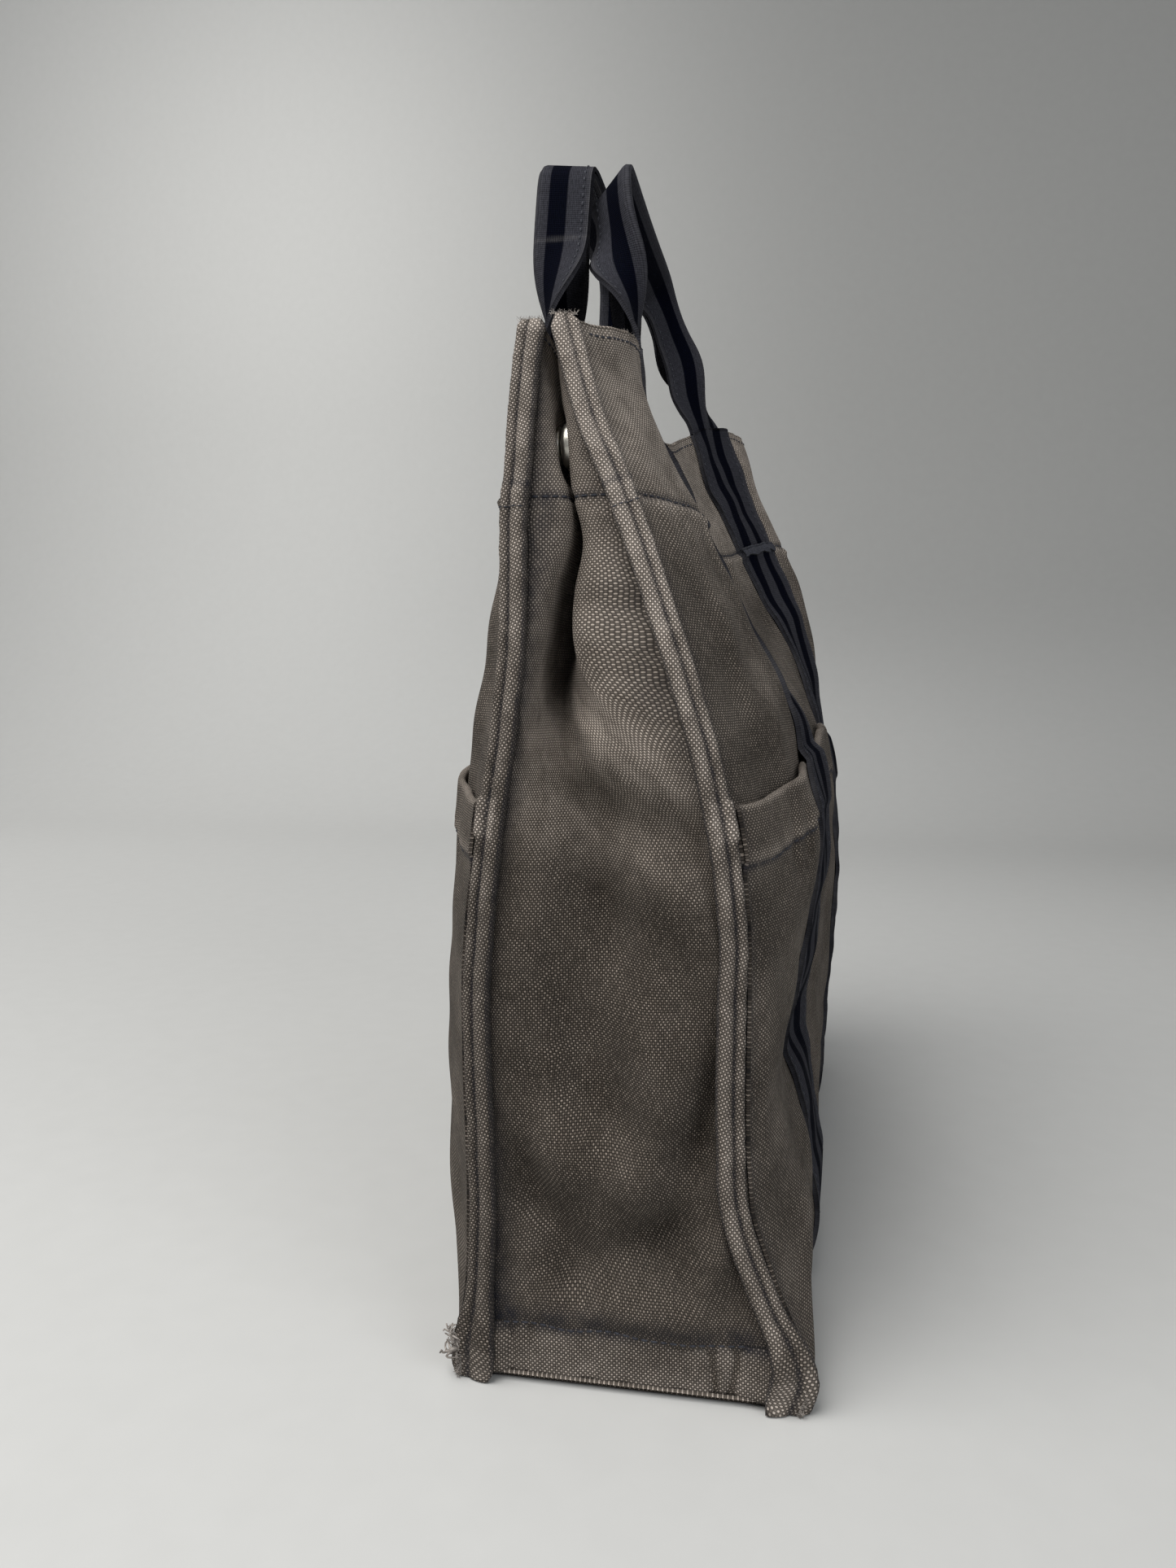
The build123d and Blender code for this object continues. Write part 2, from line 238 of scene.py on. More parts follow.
# %% [markdown]
# ## How each wall hangs
# A soft wall carries the marks of its seams: puckers below the stitched band at the mouth, a
# dent where the near strap pulls it in, a top edge that rises at the straps and dips between
# them, and slanting folds from the bottom corners. They are added to the guide face as one
# relief, so everything sewn to the wall follows the same shape.

# %% Relief of the walls
BAND = HEIGHT - 60.0
MOUTH_SEAM = HEIGHT - 3.4
RIB_DROP = 5.5
STRAP_AT = 72.0

# Places along the front wall, then for each height where its face should hang at those places.
HANG_X = [-140, -120, -99, -74, -52, -20, 20, 52, 72, 92, 115]
HANG = [
    (0, None),
    (30, None),
    (55, [-54, -56, -57, -57.5, -58, -61, -62.5, -63, -63, -63, -63]),
    (78, [-49.5, -50.5, -51.5, -53.5, -55.5, -60, -63, -64, -64.5, -65, -65]),
    (92, [-46, -46, -46.5, -47.5, -53, -59.5, -64, -65.5, -66, -66.5, -66]),
    (104, [-46.5, -46.5, -47, -48.5, -54, -60, -65, -66, -66.5, -67, -66.5]),
    (120, [-48, -49.5, -50, -53.5, -57, -61, -65.5, -67, -67, -67.5, -67]),
    (142, [-48.5, -52.5, -54, -56.5, -59, -62, -65.5, -67, -67.5, -68, -67.5]),
    (161, [-48, -54, -57, -59.5, -62, -63.5, -65, -66, -66.5, -67, -66.5]),
    (176, [-45, -53, -57.5, -59.5, -61.5, -63, -64.5, -65.5, -66, -66.5, -65.5]),
    (200, [-40, -46.5, -51.5, -54.5, -57.5, -60, -60.5, -61, -62, -62.5, -63]),
    (217, [-36, -43, -49.5, -50.5, -52.5, -54.5, -55.5, -56.5, -58, -60, -61.5]),
    (240, [-28.5, -35, -41, -35, -35.5, -39.5, -43.5, -47.5, -51, -55.5, -58.5]),
    (255, [-23, -29.5, -33.5, -27, -26.5, -29.5, -33.5, -39, -44.5, -50.5, -54.5]),
    (270, [-17.5, -23.5, -26, -18.5, -17.5, -19.5, -23.5, -30, -36, -43.5, -49]),
    (286, [-12, -17.5, -18, -10.5, -9.5, -11.5, -15.5, -22, -28, -35.5, -41]),
    (300, [-6, -11, -11, -5.5, -3.5, -4.5, -9.5, -16, -21.5, -28.5, -35]),
    (314, [-0.5, -5, -4, 2.5, 4.5, 2.5, -3, -9.5, -15, -22, -29]),
    (324, [3.5, 0, 3.5, 10.5, 12, 7.5, 1.5, -5, -10.5, -18, -26]),
    (332, [6, 2, 5.8, 13, 14.5, 12.5, 5, -2, -8, -15, -24]),
    (350, [9.5, 5, 6.8, 14, 16, 15, 9.5, 4.5, -2, -9, -18]),
]

# Soft ridges on the walls: centre along and up, half length, half width, slope, height.
FRONT_FOLDS = [
    (-150, 30, 40, 7, 52, 2.6), (-138, 24, 40, 7, 50, -2.2),
    (-118, 150, 60, 9, 78, 1.0), (-118, 205, 44, 8, 84, 1.2), (-132, 232, 36, 6, 88, 1.2),
    (-112, 60, 34, 7, 66, 2.4), (-100, 36, 30, 6, 60, -1.8), (10, 120, 70, 16, 70, -2.4),
    (40, 210, 60, 14, 100, 2.4), (130, 60, 44, 9, 128, 2.6), (118, 150, 60, 12, 96, -2.0),
    (-30, 60, 46, 12, 40, 2.0), (146, 240, 50, 8, 92, 1.6), (96, 300, 40, 8, 84, 1.4),
]
BACK_FOLDS = [
    (-6, 352, 36, 50, 0, -6.0), (-72, 352, 30, 44, 0, -3.5),
    (150, 30, 40, 8, 128, 2.6), (-150, 34, 40, 8, 52, 2.4),
    (-104, 120, 60, 12, 82, -2.2), (20, 150, 80, 16, 104, 2.6), (104, 190, 50, 12, 84, -2.4),
    (-40, 230, 50, 11, 70, 2.0), (128, 90, 50, 10, 100, 2.4), (-128, 220, 46, 8, 92, 1.6),
    (60, 60, 50, 11, 140, 2.0),
]

hang_x = np.array([-160.0] + HANG_X + [136.0, 160.0])
hang_rows = []
for level, row in HANG:
    given = np.zeros(len(hang_x))
    if row:
        given[1:-2] = flat_face["front"](hang_x[1:-2], np.full(len(row), float(level))) - row
        given[-2] = given[-3] * 0.45
    hang_rows.append(given)
fine_x = np.linspace(-160, 160, 161)
hang_table = through(hang_x, np.array(hang_rows).T, fine_x).T
hang_z = np.linspace(0, 350, 176)
hang_table = through([level for level, _ in HANG], hang_table, hang_z)
for _ in range(3):
    hang_table[1:-1] = (hang_table[:-2] + 2 * hang_table[1:-1] + hang_table[2:]) / 4
    hang_table[:, 1:-1] = (hang_table[:, :-2] + 2 * hang_table[:, 1:-1] + hang_table[:, 2:]) / 4


def hang_bump(x, z):
    """How far the front wall stands out of its guide face where it hangs slack."""
    column, line = np.clip((x + 160) / 2, 0, 159.999), np.clip(z / 2, 0, 174.999)
    i, j = line.astype(int), column.astype(int)
    a, b = line - i, column - j
    return ((hang_table[i, j] * (1 - b) + hang_table[i, j + 1] * b) * (1 - a)
            + (hang_table[i + 1, j] * (1 - b) + hang_table[i + 1, j + 1] * b) * a)


def relief(side, x, z):
    """How far a wall's cloth stands out of its guide face."""
    bump = folds(x, z, FRONT_FOLDS if side == "front" else BACK_FOLDS)
    if side == "front":
        bump = bump + hang_bump(x, z)
    else:
        bump = bump - BACK_SLACK * step(110, 150, np.abs(x)) * slack_share(z)
    loose = step(0, 24, cloth_edge(z) - np.abs(x))
    upright_waves = 1.0 * wander(x + 0.3 * z, 46, 11) * step(10, 80, z)
    level_waves = 0.5 * wander(z - 0.5 * x, 38, 12)
    bump = bump + loose * (upright_waves + level_waves)
    pucker = wander(x, 11.5, 13 if side == "front" else 14) + 0.5 * wander(x, 6.1, 15)
    below, above = np.clip(BAND - z, 0, None), np.clip(z - BAND, 0, None)
    fade = np.where(z < BAND, np.exp(-below / 20.0), 0.55 * np.exp(-above / 9.0))
    bump = bump + 0.95 * pucker * fade
    seam_lip = 0.95 * np.exp(-((z - BAND + 1.9) / 1.5) ** 2)
    seam_groove = 0.85 * np.exp(-((z - BAND - 0.5) / 0.9) ** 2)
    bump = bump + seam_lip - seam_groove
    bump = bump + 0.35 * wander(x, 9, 16) * step(HEIGHT - 12, HEIGHT, z)
    foot_tuck = 2.4 * (1 - step(0, 6, z))
    return bump - foot_tuck


def lift_of_mouth(side, x, z):
    """The mouth's edge rises at the straps and dips between them."""
    dip = 9.0 if side == "front" else 4.0
    near = 6.0 * np.exp(-((x + STRAP_AT) / 27) ** 2) - dip * np.exp(-((x - 12) / 34) ** 2)
    near = near - RIB_DROP * step(118, 157, np.abs(x)) + 0.7 * wander(x, 40, 17) * step(150, 130, np.abs(x))
    if side == "front":
        far = 13.0 * step(20, 105, x) * step(160, 130, x)
    else:
        far = 6.0 * np.exp(-((x - STRAP_AT) / 27) ** 2)
    return near * step(HEIGHT - 70, HEIGHT, z) + far * step(205, 296, z)


def on_wall(side, x, z, lift=0.0):
    """Points at a height above a wall's outer face, following its slopes."""
    x, z = np.broadcast_arrays(np.asarray(x, float), np.asarray(z, float))

    def face(a, b):
        return flat_face[side](a, b) + OUT[side] * relief(side, a, b)

    y = face(x, z)
    slope_x = (face(x + 0.8, z) - face(x - 0.8, z)) / 1.6
    slope_z = (face(x, z + 0.8) - face(x, z - 0.8)) / 1.6
    normal = OUT[side] * np.stack([-slope_x, np.ones_like(y), -slope_z], -1)
    normal /= np.linalg.norm(normal, axis=-1, keepdims=True)
    points = np.stack([x, y, z], -1) + normal * np.asarray(lift, float)[..., None]
    points[..., 2] += lift_of_mouth(side, x, z)
    return points


print("front wall at the near strap:", on_wall("front", -85.0, 100.0).round(1).tolist())

# %% [markdown]
# ## Making meshes
# Cloth is a closed shell: an outer face, an inner face one cloth thickness away, and a rounded
# rim between them. Each mesh also carries what its finish needs, such as where a point lies on
# the flat cloth, so the weave runs with the threads and not with the object's box.

# %% Mesh makers
def quads(rows, cols, first=0, flip=False, wrap=False):
    """Faces of a grid of points stored row by row."""
    i, j = np.meshgrid(np.arange(rows - 1), np.arange(cols if wrap else cols - 1), indexing="ij")
    k = (j + 1) % cols
    corners = [i * cols + j, i * cols + k, (i + 1) * cols + k, (i + 1) * cols + j]
    faces = np.stack(corners, -1).reshape(-1, 4) + first
    return faces[:, ::-1] if flip else faces


def make(name, points, faces, marks):
    """A smooth mesh object; marks holds a value or a vector for each point."""
    mesh = bpy.data.meshes.new(name)
    points = np.asarray(points, float).reshape(-1, 3)
    mesh.from_pydata((points * MM).tolist(), [], [list(map(int, f)) for f in faces])
    mesh.polygons.foreach_set("use_smooth", [True] * len(mesh.polygons))
    for mark, values in marks.items():
        values = np.asarray(values, float)
        wide = values.ndim > 1
        layer = mesh.attributes.new(mark, "FLOAT_VECTOR" if wide else "FLOAT", "POINT")
        layer.data.foreach_set("vector" if wide else "value", values.ravel().astype(np.float32))
    piece = bpy.data.objects.new(name, mesh)
    scene.collection.objects.link(piece)
    return piece


def grid_normals(grid):
    """Unit normals of a grid of points."""
    across, up = np.gradient(grid, axis=1), np.gradient(grid, axis=0)
    normal = np.cross(across, up)
    return normal / np.maximum(np.linalg.norm(normal, axis=-1, keepdims=True), 1e-9)


def shell(name, grid, thickness, marks, facing=1.0, closed_rim="nsew"):
    """A closed sheet of cloth under a grid of outer points; facing turns it to its outside.

    closed_rim names the rims by compass: a small letter is rounded, a capital is flat.
    """
    rows, cols = grid.shape[:2]
    normal = grid_normals(grid) * facing
    inner = grid - normal * thickness
    points = [grid.reshape(-1, 3), inner.reshape(-1, 3)]
    size = rows * cols
    faces = [quads(rows, cols, 0, facing < 0), quads(rows, cols, size, facing > 0)]
    index = np.arange(size).reshape(rows, cols)
    rims = {"s": (index[0], -1, 0), "n": (index[-1], 1, 0),
            "w": (index[:, 0], 1, 1), "e": (index[:, -1], -1, 1)}
    sources = [np.arange(size), np.arange(size)]
    along_grid = [np.gradient(grid, axis=0), np.gradient(grid, axis=1)]
    first = 2 * size
    for key, (line, turn, axis) in rims.items():
        if key not in closed_rim:
            continue
        away = along_grid[axis].reshape(-1, 3)[line]
        away = away / np.maximum(np.linalg.norm(away, axis=1, keepdims=True), 1e-9)
        away *= {"s": -1, "n": 1, "w": -1, "e": 1}[key]
        middle = (grid.reshape(-1, 3)[line] + inner.reshape(-1, 3)[line]) / 2
        points.append(middle + away * thickness * 0.45)
        sources.append(line)
        rim = np.arange(first, first + len(line))
        for a, b in ((line, rim), (rim, line + size)):
            strip = np.stack([a[:-1], b[:-1], b[1:], a[1:]], -1)
            faces.append(strip if turn * facing > 0 else strip[:, ::-1])
        first += len(line)
    for key, line in (("e", index[:, -1]), ("w", index[:, 0])):
        if key.upper() in closed_rim:
            strip = np.stack([line[:-1], line[:-1] + size, line[1:] + size, line[1:]], -1)
            faces.append(strip if (key == "e") == (facing > 0) else strip[:, ::-1])
    picked = np.concatenate(sources)
    spread = {key: np.asarray(v).reshape(size, -1).squeeze()[picked] for key, v in marks.items()}
    return make(name, np.concatenate(points), np.concatenate(faces), spread)


def tube_rings(centres, sides, rings, name, marks=None):
    """A closed skin over rings of points: rings is (count, sides, 3), with its two ends capped."""
    count = len(rings)
    tops = np.stack([rings[0].mean(0), rings[-1].mean(0)])
    points = np.concatenate([rings.reshape(-1, 3), tops])
    faces = [list(f) for f in quads(count, sides, wrap=True)]
    low, high = count * sides, count * sides + 1
    for k in range(sides):
        n = (k + 1) % sides
        faces.append([n, k, low])
        faces.append([(count - 1) * sides + k, (count - 1) * sides + n, high])
    return make(name, points, faces, marks or {})


pieces = {}


def settle(piece, body, slot, *stands_for, blend=None):
    """Puts a piece on its body, or for a blended piece only bakes its place into its points; names its finish
    and hides the solids it stands for.
    """
    if blend:
        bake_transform(piece)
    else:
        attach(piece, body)
    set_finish(piece, slot)
    if stands_for:
        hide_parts(*stands_for)
    pieces[piece.name] = piece
    return piece


# %% [markdown]
# ## The two walls and the band inside the mouth
# Each wall is one piece of heavy canvas from the floor to the mouth. Inside the mouth a 60 mm
# band doubles it. A cloth simulation could hang them, but the sewn puckers and the dents
# round the straps have known places, so the grid is shaped directly and stays under control.

# %% Walls and mouth bands
CANVAS = 1.2
LAYER_GAP = 0.3
wall_v = np.concatenate([np.linspace(0, 0.04, 8)[:-1], np.linspace(0.04, 0.7, 96)[:-1],
                         np.linspace(0.7, 1, 96)])
wall_u = np.linspace(-1, 1, 301)


def rubbed(x, z, seed):
    """Soft pale patches that rubbing leaves on cloth."""
    return 0.5 + 0.35 * wander(x + 0.4 * z, 34, seed) + 0.35 * wander(z - 0.3 * x, 27, seed + 1)


def flat_marks(x, z, wear_and_light, dye_and_shade):
    """Where points lie on the flat cloth, in metres; how rubbed and how lit by painted light from above; how
    dark from dye and painted shade.
    """
    x, z = np.broadcast_arrays(x, z)
    return {"cloth": np.stack([x, z, 0 * x], -1) * MM, "wear_and_light": np.clip(wear_and_light, 0, 1) + 0 * x,
            "dye_and_shade": np.clip(dye_and_shade, 0, 1) + 0 * x}


for side in OUT:
    z = wall_v[:, None] * (HEIGHT - 0.6) + 0.6
    x = wall_u[None, :] * (cloth_edge(z) + 2.4)
    z = z + 0 * x
    edge = step(HEIGHT - 5, HEIGHT - 0.5, z)
    # Paler towards the mouth: partly rubbing, partly painted light from above; also paler on the ridge under
    # the band seam and near the floor.
    wear_and_light = 0.95 * edge + (0.75 + 0.3 * rubbed(x, z, 21)) * step(BAND - 30, BAND + 30, z)
    wear_and_light += 0.2 * rubbed(x, z, 23)
    wear_and_light += 0.45 * np.exp(-((z - BAND + 2.4) / 1.8) ** 2) + 0.5 * (1 - step(2, 9, z))
    # Dark marks: along the band seam, partly the thread's navy dye and partly painted shade in its groove; and
    # painted shade along the edges beside the ribs.
    dye_and_shade = 0.75 * np.exp(-((z - BAND - 0.6) / 1.3) ** 2)
    dye_and_shade += 0.3 * np.exp(-((cloth_edge(z) - np.abs(x)) / 4.0) ** 2)
    marks = flat_marks(x, z, wear_and_light, dye_and_shade)
    wall = shell(f"{side}_wall_cloth", on_wall(side, x, z), CANVAS, marks, -OUT[side])
    settle(wall, side + "_wall", "canvas", side + "_panel")

    z = np.linspace(BAND, HEIGHT, 60)[:, None]
    x = np.linspace(-1, 1, 201)[None, :] * (cloth_edge(z) - 3.0)
    z = z + 0 * x
    wear_and_light = 0.95 * step(HEIGHT - 4, HEIGHT - 0.5, z) + 0.2 * rubbed(x, z, 25)
    marks = flat_marks(x, z + 9, wear_and_light, 0 * z)
    inside = on_wall(side, x, z - 0.15, -CANVAS - LAYER_GAP)
    band = shell(f"{side}_mouth_band", inside, CANVAS, marks, -OUT[side])
    settle(band, side + "_wall", "canvas", side + "_hem")
    print(side, "wall:", len(wall.data.vertices), "points")

# %% [markdown]
# ## The folded ends
# Each end is one strip of canvas, sewn to both walls. Towards the top it folds inwards into a
# deep pleat; lower down the fold runs out into slack hollows. The strip is made as a front and
# a back half that meet exactly in the crease, because each half swings out with its own wall.

# %% Shape of the ends
PLEAT = 60.0
DEPTH_LINE = ([0, 0.14, 0.30, 0.43, 0.53, 0.575, 0.61, 0.645, 0.70, 0.76, 0.84, 1.0],
              [0, 0.0, 0.06, 0.10, 0.10, 0.13, 0.30, 0.52, 0.70, 0.82, 0.92, 1.0])
CLOSE_LINE = ([0, 0.56, 0.60, 0.65, 0.70, 0.76, 1.0], [0, 0.0, 0.16, 0.55, 0.86, 1.0, 1.0])
SLANT_LINE = ([0, 165, 185, 203, 219, 228, 243, 260, 277, 295, 360],
              [0, 0, 3, 9, 15, 16.5, 13.5, 8.0, 0.5, 0, 0])
END_FOLDS = [
    (6, 209, 24, 8, 34, 8.0), (2, 188, 26, 8, 24, -10.0), (10, 160, 32, 10, 66, -10.0),
    (-14, 168, 38, 9, 60, 8.0), (16, 116, 44, 11, 80, -9.0), (-8, 112, 44, 12, 72, 7.5),
    (-24, 84, 34, 8, 112, -9.0), (30, 150, 70, 8, 90, 2.5), (2, 72, 26, 11, 24, 8.5),
    (26, 54, 30, 8, 58, -9.0), (-6, 50, 28, 8, 150, -7.5), (4, 27, 34, 7, 0, 4.0),
    (-32, 50, 28, 6, 112, 5.0), (33, 96, 30, 6, 90, -4.0), (20, 232, 36, 6, 88, 2.5),
    (-22, 226, 40, 7, 84, -2.0),
]
snap_low, snap_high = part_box("left_snap_socket")
stud_low, stud_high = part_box("left_snap_stud")
SNAP = ((snap_low + snap_high) / 2) / MM


def end_surface(a, z, end_name):
    """Points of an end's cloth: a runs from -1 at the front seam to 1 at the back seam."""
    end = END[end_name]
    share = z / HEIGHT
    front, back = seam["front"](z), seam["back"](z)
    low_y, high_y = front[..., 1] + 2.6, back[..., 1] - 2.6
    middle = (high_y + low_y) / 2 + through(*SLANT_LINE, z)
    half = np.where(a < 0, middle - low_y, high_y - middle)
    size = np.abs(a)
    closed = through(*CLOSE_LINE, share)
    depth = PLEAT * through(*DEPTH_LINE, share)
    turn = np.clip((size - 0.66) / 0.34, 0, 1)
    gap = 0.9 + 1.9 * step(292, 268, z) * np.minimum((1 - size) * 4, 1)
    narrow = gap * np.minimum(size * 3.0, 1.0) + (half - gap) * (1 - np.cos(turn * math.pi / 2))
    width = (1 - closed) * half * size + closed * narrow
    y = middle + np.sign(a) * width
    soft = 1 - size**8
    groove = np.exp(-((width / (8.0 - 3.0 * closed)) ** 2)) * (1 - size**6)
    inwards = 0.17 * (1 - turn) ** 2 + 0.03 * turn**8 + 0.83 * np.clip((0.66 - size) / 0.66, 0, 1)
    x = cloth_edge(z) + 0.9 - depth * ((1 - closed) * groove + closed * inwards)
    mirror = 1.0 if end_name == "left" else -1.0
    swell = folds(y * mirror + (0 if mirror > 0 else 6), z, END_FOLDS) * (1 - step(225, 275, z))
    swell = swell + 0.4 * wander(y + 0.4 * z, 34, 31) + 0.3 * wander(z - 0.6 * y, 30, 32 + int(mirror))
    x = x + swell * soft * step(0, 22, z)
    seam_dip = np.exp(-((z - BAND) / 1.1) ** 2)
    pucker = 0.5 * wander(a * 40, 9, 33) * np.exp(-np.abs(z - BAND) / 9.0)
    y = y + np.sign(a) * closed * (0.7 * seam_dip + pucker) * soft
    near_snap = np.exp(-((((x - abs(SNAP.x)) / 12) ** 4) + ((z - SNAP.z) / 12) ** 4)) * (1 - turn) ** 2
    y = y + near_snap * (np.where(a < 0, snap_low.y / MM - 0.1, stud_high.y / MM + 0.1) - y)
    lift = (RIB_DROP + 7.0 * np.exp(-((size / 0.75) ** 2))) * step(HEIGHT - 55, HEIGHT, z)
    return np.stack([end * x, y, z - lift], -1)


def end_grid(low, high, rows, end_name, inset=0.0):
    """A grid over a whole end, its normals pointing out of the bag, and the grid's a and z."""
    a = np.sin(np.linspace(-1, 1, 161) * math.pi / 2) * (1 - inset)
    a = 0.5 * a + 0.5 * np.linspace(-1, 1, 161) * (1 - inset)
    z = np.linspace(low, high, rows)[:, None] + 0 * a[None, :]
    a = a[None, :] + 0 * z
    grid = end_surface(a, z, end_name)
    normal = grid_normals(grid) * END[end_name]
    return grid, normal, a, z


# Share of a wall's motion that the cloth gains per mm in x, y and z. It is nothing on the inner
# crease, which stays with the base, and whole at the ribs and fasteners, which go with the wall.
SWING = {"front": (-0.0465, -0.0685, 0.0259), "back": (-0.0308, 0.1339, 0.01374)}
CREASE = end_surface(np.zeros((1, 1)), np.full((1, 1), 345.0), "left")[0, 0]
print("crease at the top, mm:", CREASE.round(1))


def crease_blend(side, end_name):
    """Start and end of the turn from the still crease to the moving wall."""
    g = np.array(SWING[side]) * [-END[end_name], 1, 1]
    start = np.array(CREASE) * [-END[end_name], 1, 1]
    return start, start + g / (g @ g)


def half_end(name, grid, normal, marks, side, lift, thickness):
    """One half of an end as a closed shell, with the shading of the whole end at the crease."""
    middle = grid.shape[1] // 2
    part = slice(0, middle + 1) if side == "front" else slice(middle, None)
    outer, direction = grid[:, part] + normal[:, part] * lift, normal[:, part]
    piece_marks = {k: v[:, part] for k, v in marks.items()}
    size = outer.shape[0] * outer.shape[1]
    facing = 1.0 if np.sum(grid_normals(outer) * direction) > 0 else -1.0
    piece = shell(name, outer, thickness, piece_marks, facing, "nswE" if side == "front" else "nseW")
    flat = direction.reshape(-1, 3)
    normals = np.zeros((len(piece.data.vertices), 3))
    piece.data.vertices.foreach_get("normal", holder := np.zeros(len(normals) * 3, np.float32))
    normals[:] = holder.reshape(-1, 3)
    keep = np.ones(outer.shape[:2], bool)
    keep[[0, -1]] = False
    keep[:, 0 if side == "front" else -1] = False
    chosen = np.flatnonzero(keep.ravel())
    normals[chosen] = flat[chosen]
    normals[chosen + size] = -flat[chosen]
    piece.data.normals_split_custom_set_from_vertices(normals.tolist())
    return piece


# %% Ends and their mouth bands
for end_name in END:
    grid, normal, a, z = end_grid(1.2, HEIGHT, 221, end_name)
    run = a * PLEAT * 0.92 + 0.5 * wander(z + 30 * a, 17, 39) + 0.3 * wander(z - 40 * a, 9, 40)
    rim = step(HEIGHT - 5, HEIGHT - 0.5, z)
    hollow = step(0.35, 0.0, np.abs(a)) * step(0.5 * HEIGHT, 0.8 * HEIGHT, z)
    # Paler in the upper part of the end: partly rubbing, partly painted light from above, with less of it in
    # the pleat's hollow.
    wear_and_light = 0.9 * rim + 0.14 * rubbed(run, z, 35)
    wear_and_light = wear_and_light + 0.62 * step(150, 212, z) + 0.3 * step(BAND - 30, HEIGHT - 20, z)
    wear_and_light = wear_and_light * (1 - 0.8 * hollow) + 0.12 * step(60, 10, z)
    # Dark marks: painted shade in the gaps beside the back and front ribs, deeper by the back rib; a line
    # along the band seam, partly dye and partly painted shade in its groove; and a dark line just above the
    # foot band.
    by_back, by_front = np.exp(-((1 - a) * 26 / 4.5) ** 2), np.exp(-((1 + a) * 26 / 3.2) ** 2)
    dye_and_shade = (0.85 * by_back + 0.4 * by_front) * (1 - 0.35 * rubbed(z, run, 37))
    dye_and_shade += 0.7 * np.exp(-((z - BAND) / 1.2) ** 2)
    dye_and_shade += 0.75 * np.exp(-((z - 22) / 4.0) ** 2) * (0.7 + 0.3 * wander(run, 12, 38))
    marks = flat_marks(run, z, wear_and_light, dye_and_shade)
    for side in OUT:
        piece = half_end(f"{end_name}_end_{side}_half", grid, normal, marks, side, 0.0, CANVAS)
        settle(piece, ("base", side + "_wall"), "canvas", end_name + "_gusset",
               blend=crease_blend(side, end_name))
    grid, normal, a, z = end_grid(BAND, HEIGHT - 0.3, 50, end_name, inset=0.12)
    marks = flat_marks(a * PLEAT * 0.92, z + 7, 0.8 * step(HEIGHT - 4, HEIGHT, z) + 0.15, 0 * z)
    for side in OUT:
        piece = half_end(f"{end_name}_mouth_band_{side}_half", grid, normal, marks, side,
                         -CANVAS - LAYER_GAP, CANVAS)
        settle(piece, ("base", side + "_wall"), "canvas", end_name + "_hem",
               blend=crease_blend(side, end_name))
print("ends:", [n for n in pieces if "_end_" in n])

# %% [markdown]
# ## The ribs
# Where a wall and an end meet, the seam is turned out and sewn down twice, which leaves a rib
# of two cords with a stitched valley between. A swept profile gives both cords at once; it
# swells where the band and the pocket are caught in the seam, and spreads at the frayed foot.

# %% Ribs
POCKET = 192.0
RIB_HALF = 4.9
RIB_BIAS = (0.955, 0.296)     # cosine and sine of the angle at which its yarns cross a rib


def rib_profile(swell_out, swell_in):
    """Across (towards the wall is negative) and out of the end, for each point round a rib."""
    over = -RIB_HALF * np.cos(np.linspace(0, math.pi, 27))
    back_under = RIB_HALF * np.cos(np.linspace(0, math.pi, 11))[1:-1]
    across = np.concatenate([over, back_under])
    a = across[:27]
    outer = 2.5 * swell_out * np.clip(1 - ((a + 2.9) / 2.1) ** 2, 0, 1) ** 0.45
    inner = 2.9 * swell_in * np.clip(1 - ((a - 2.05) / 2.95) ** 2, 0, 1) ** 0.45
    top = np.maximum(outer, inner)
    return across, np.concatenate([top, np.full(9, -1.6)])


def rib_centre(side, z):
    """x (without sign) and y of a rib, which sways a little about its seam."""
    line = seam[side](z)
    sway = 0.22 * wander(z, 40, 41) + 0.08 * wander(z, 13, 42)
    return line[..., 0] - 0.6, line[..., 1] + sway


def rib_frame(side, end_name, z):
    """Centre, sideways direction towards the wall, and outward direction of a rib."""
    x, y = rib_centre(side, z)
    ahead, behind = rib_centre(side, z + 1.0), rib_centre(side, z - 1.0)
    tangent = np.stack([END[end_name] * (ahead[0] - behind[0]), ahead[1] - behind[1],
                        np.full_like(z, 2.0)], -1)
    tangent /= np.linalg.norm(tangent, axis=-1, keepdims=True)
    out = np.stack([np.full_like(z, END[end_name] * 0.96), np.full_like(z, OUT[side] * 0.28),
                    np.zeros_like(z)], -1)
    out -= tangent * np.sum(out * tangent, -1, keepdims=True)
    out /= np.linalg.norm(out, axis=-1, keepdims=True)
    sideways = np.cross(out, tangent)
    sideways *= np.sign(sideways[..., 1:2] * OUT[side])
    drop = RIB_DROP * step(HEIGHT - 70, HEIGHT, z)
    return np.stack([END[end_name] * x, y, z - drop], -1), sideways, out


def patch(z, low, high):
    """1 between two heights, with short soft ends."""
    return step(low - 0.8, low + 0.5, z) * step(high + 0.8, high - 0.5, z)


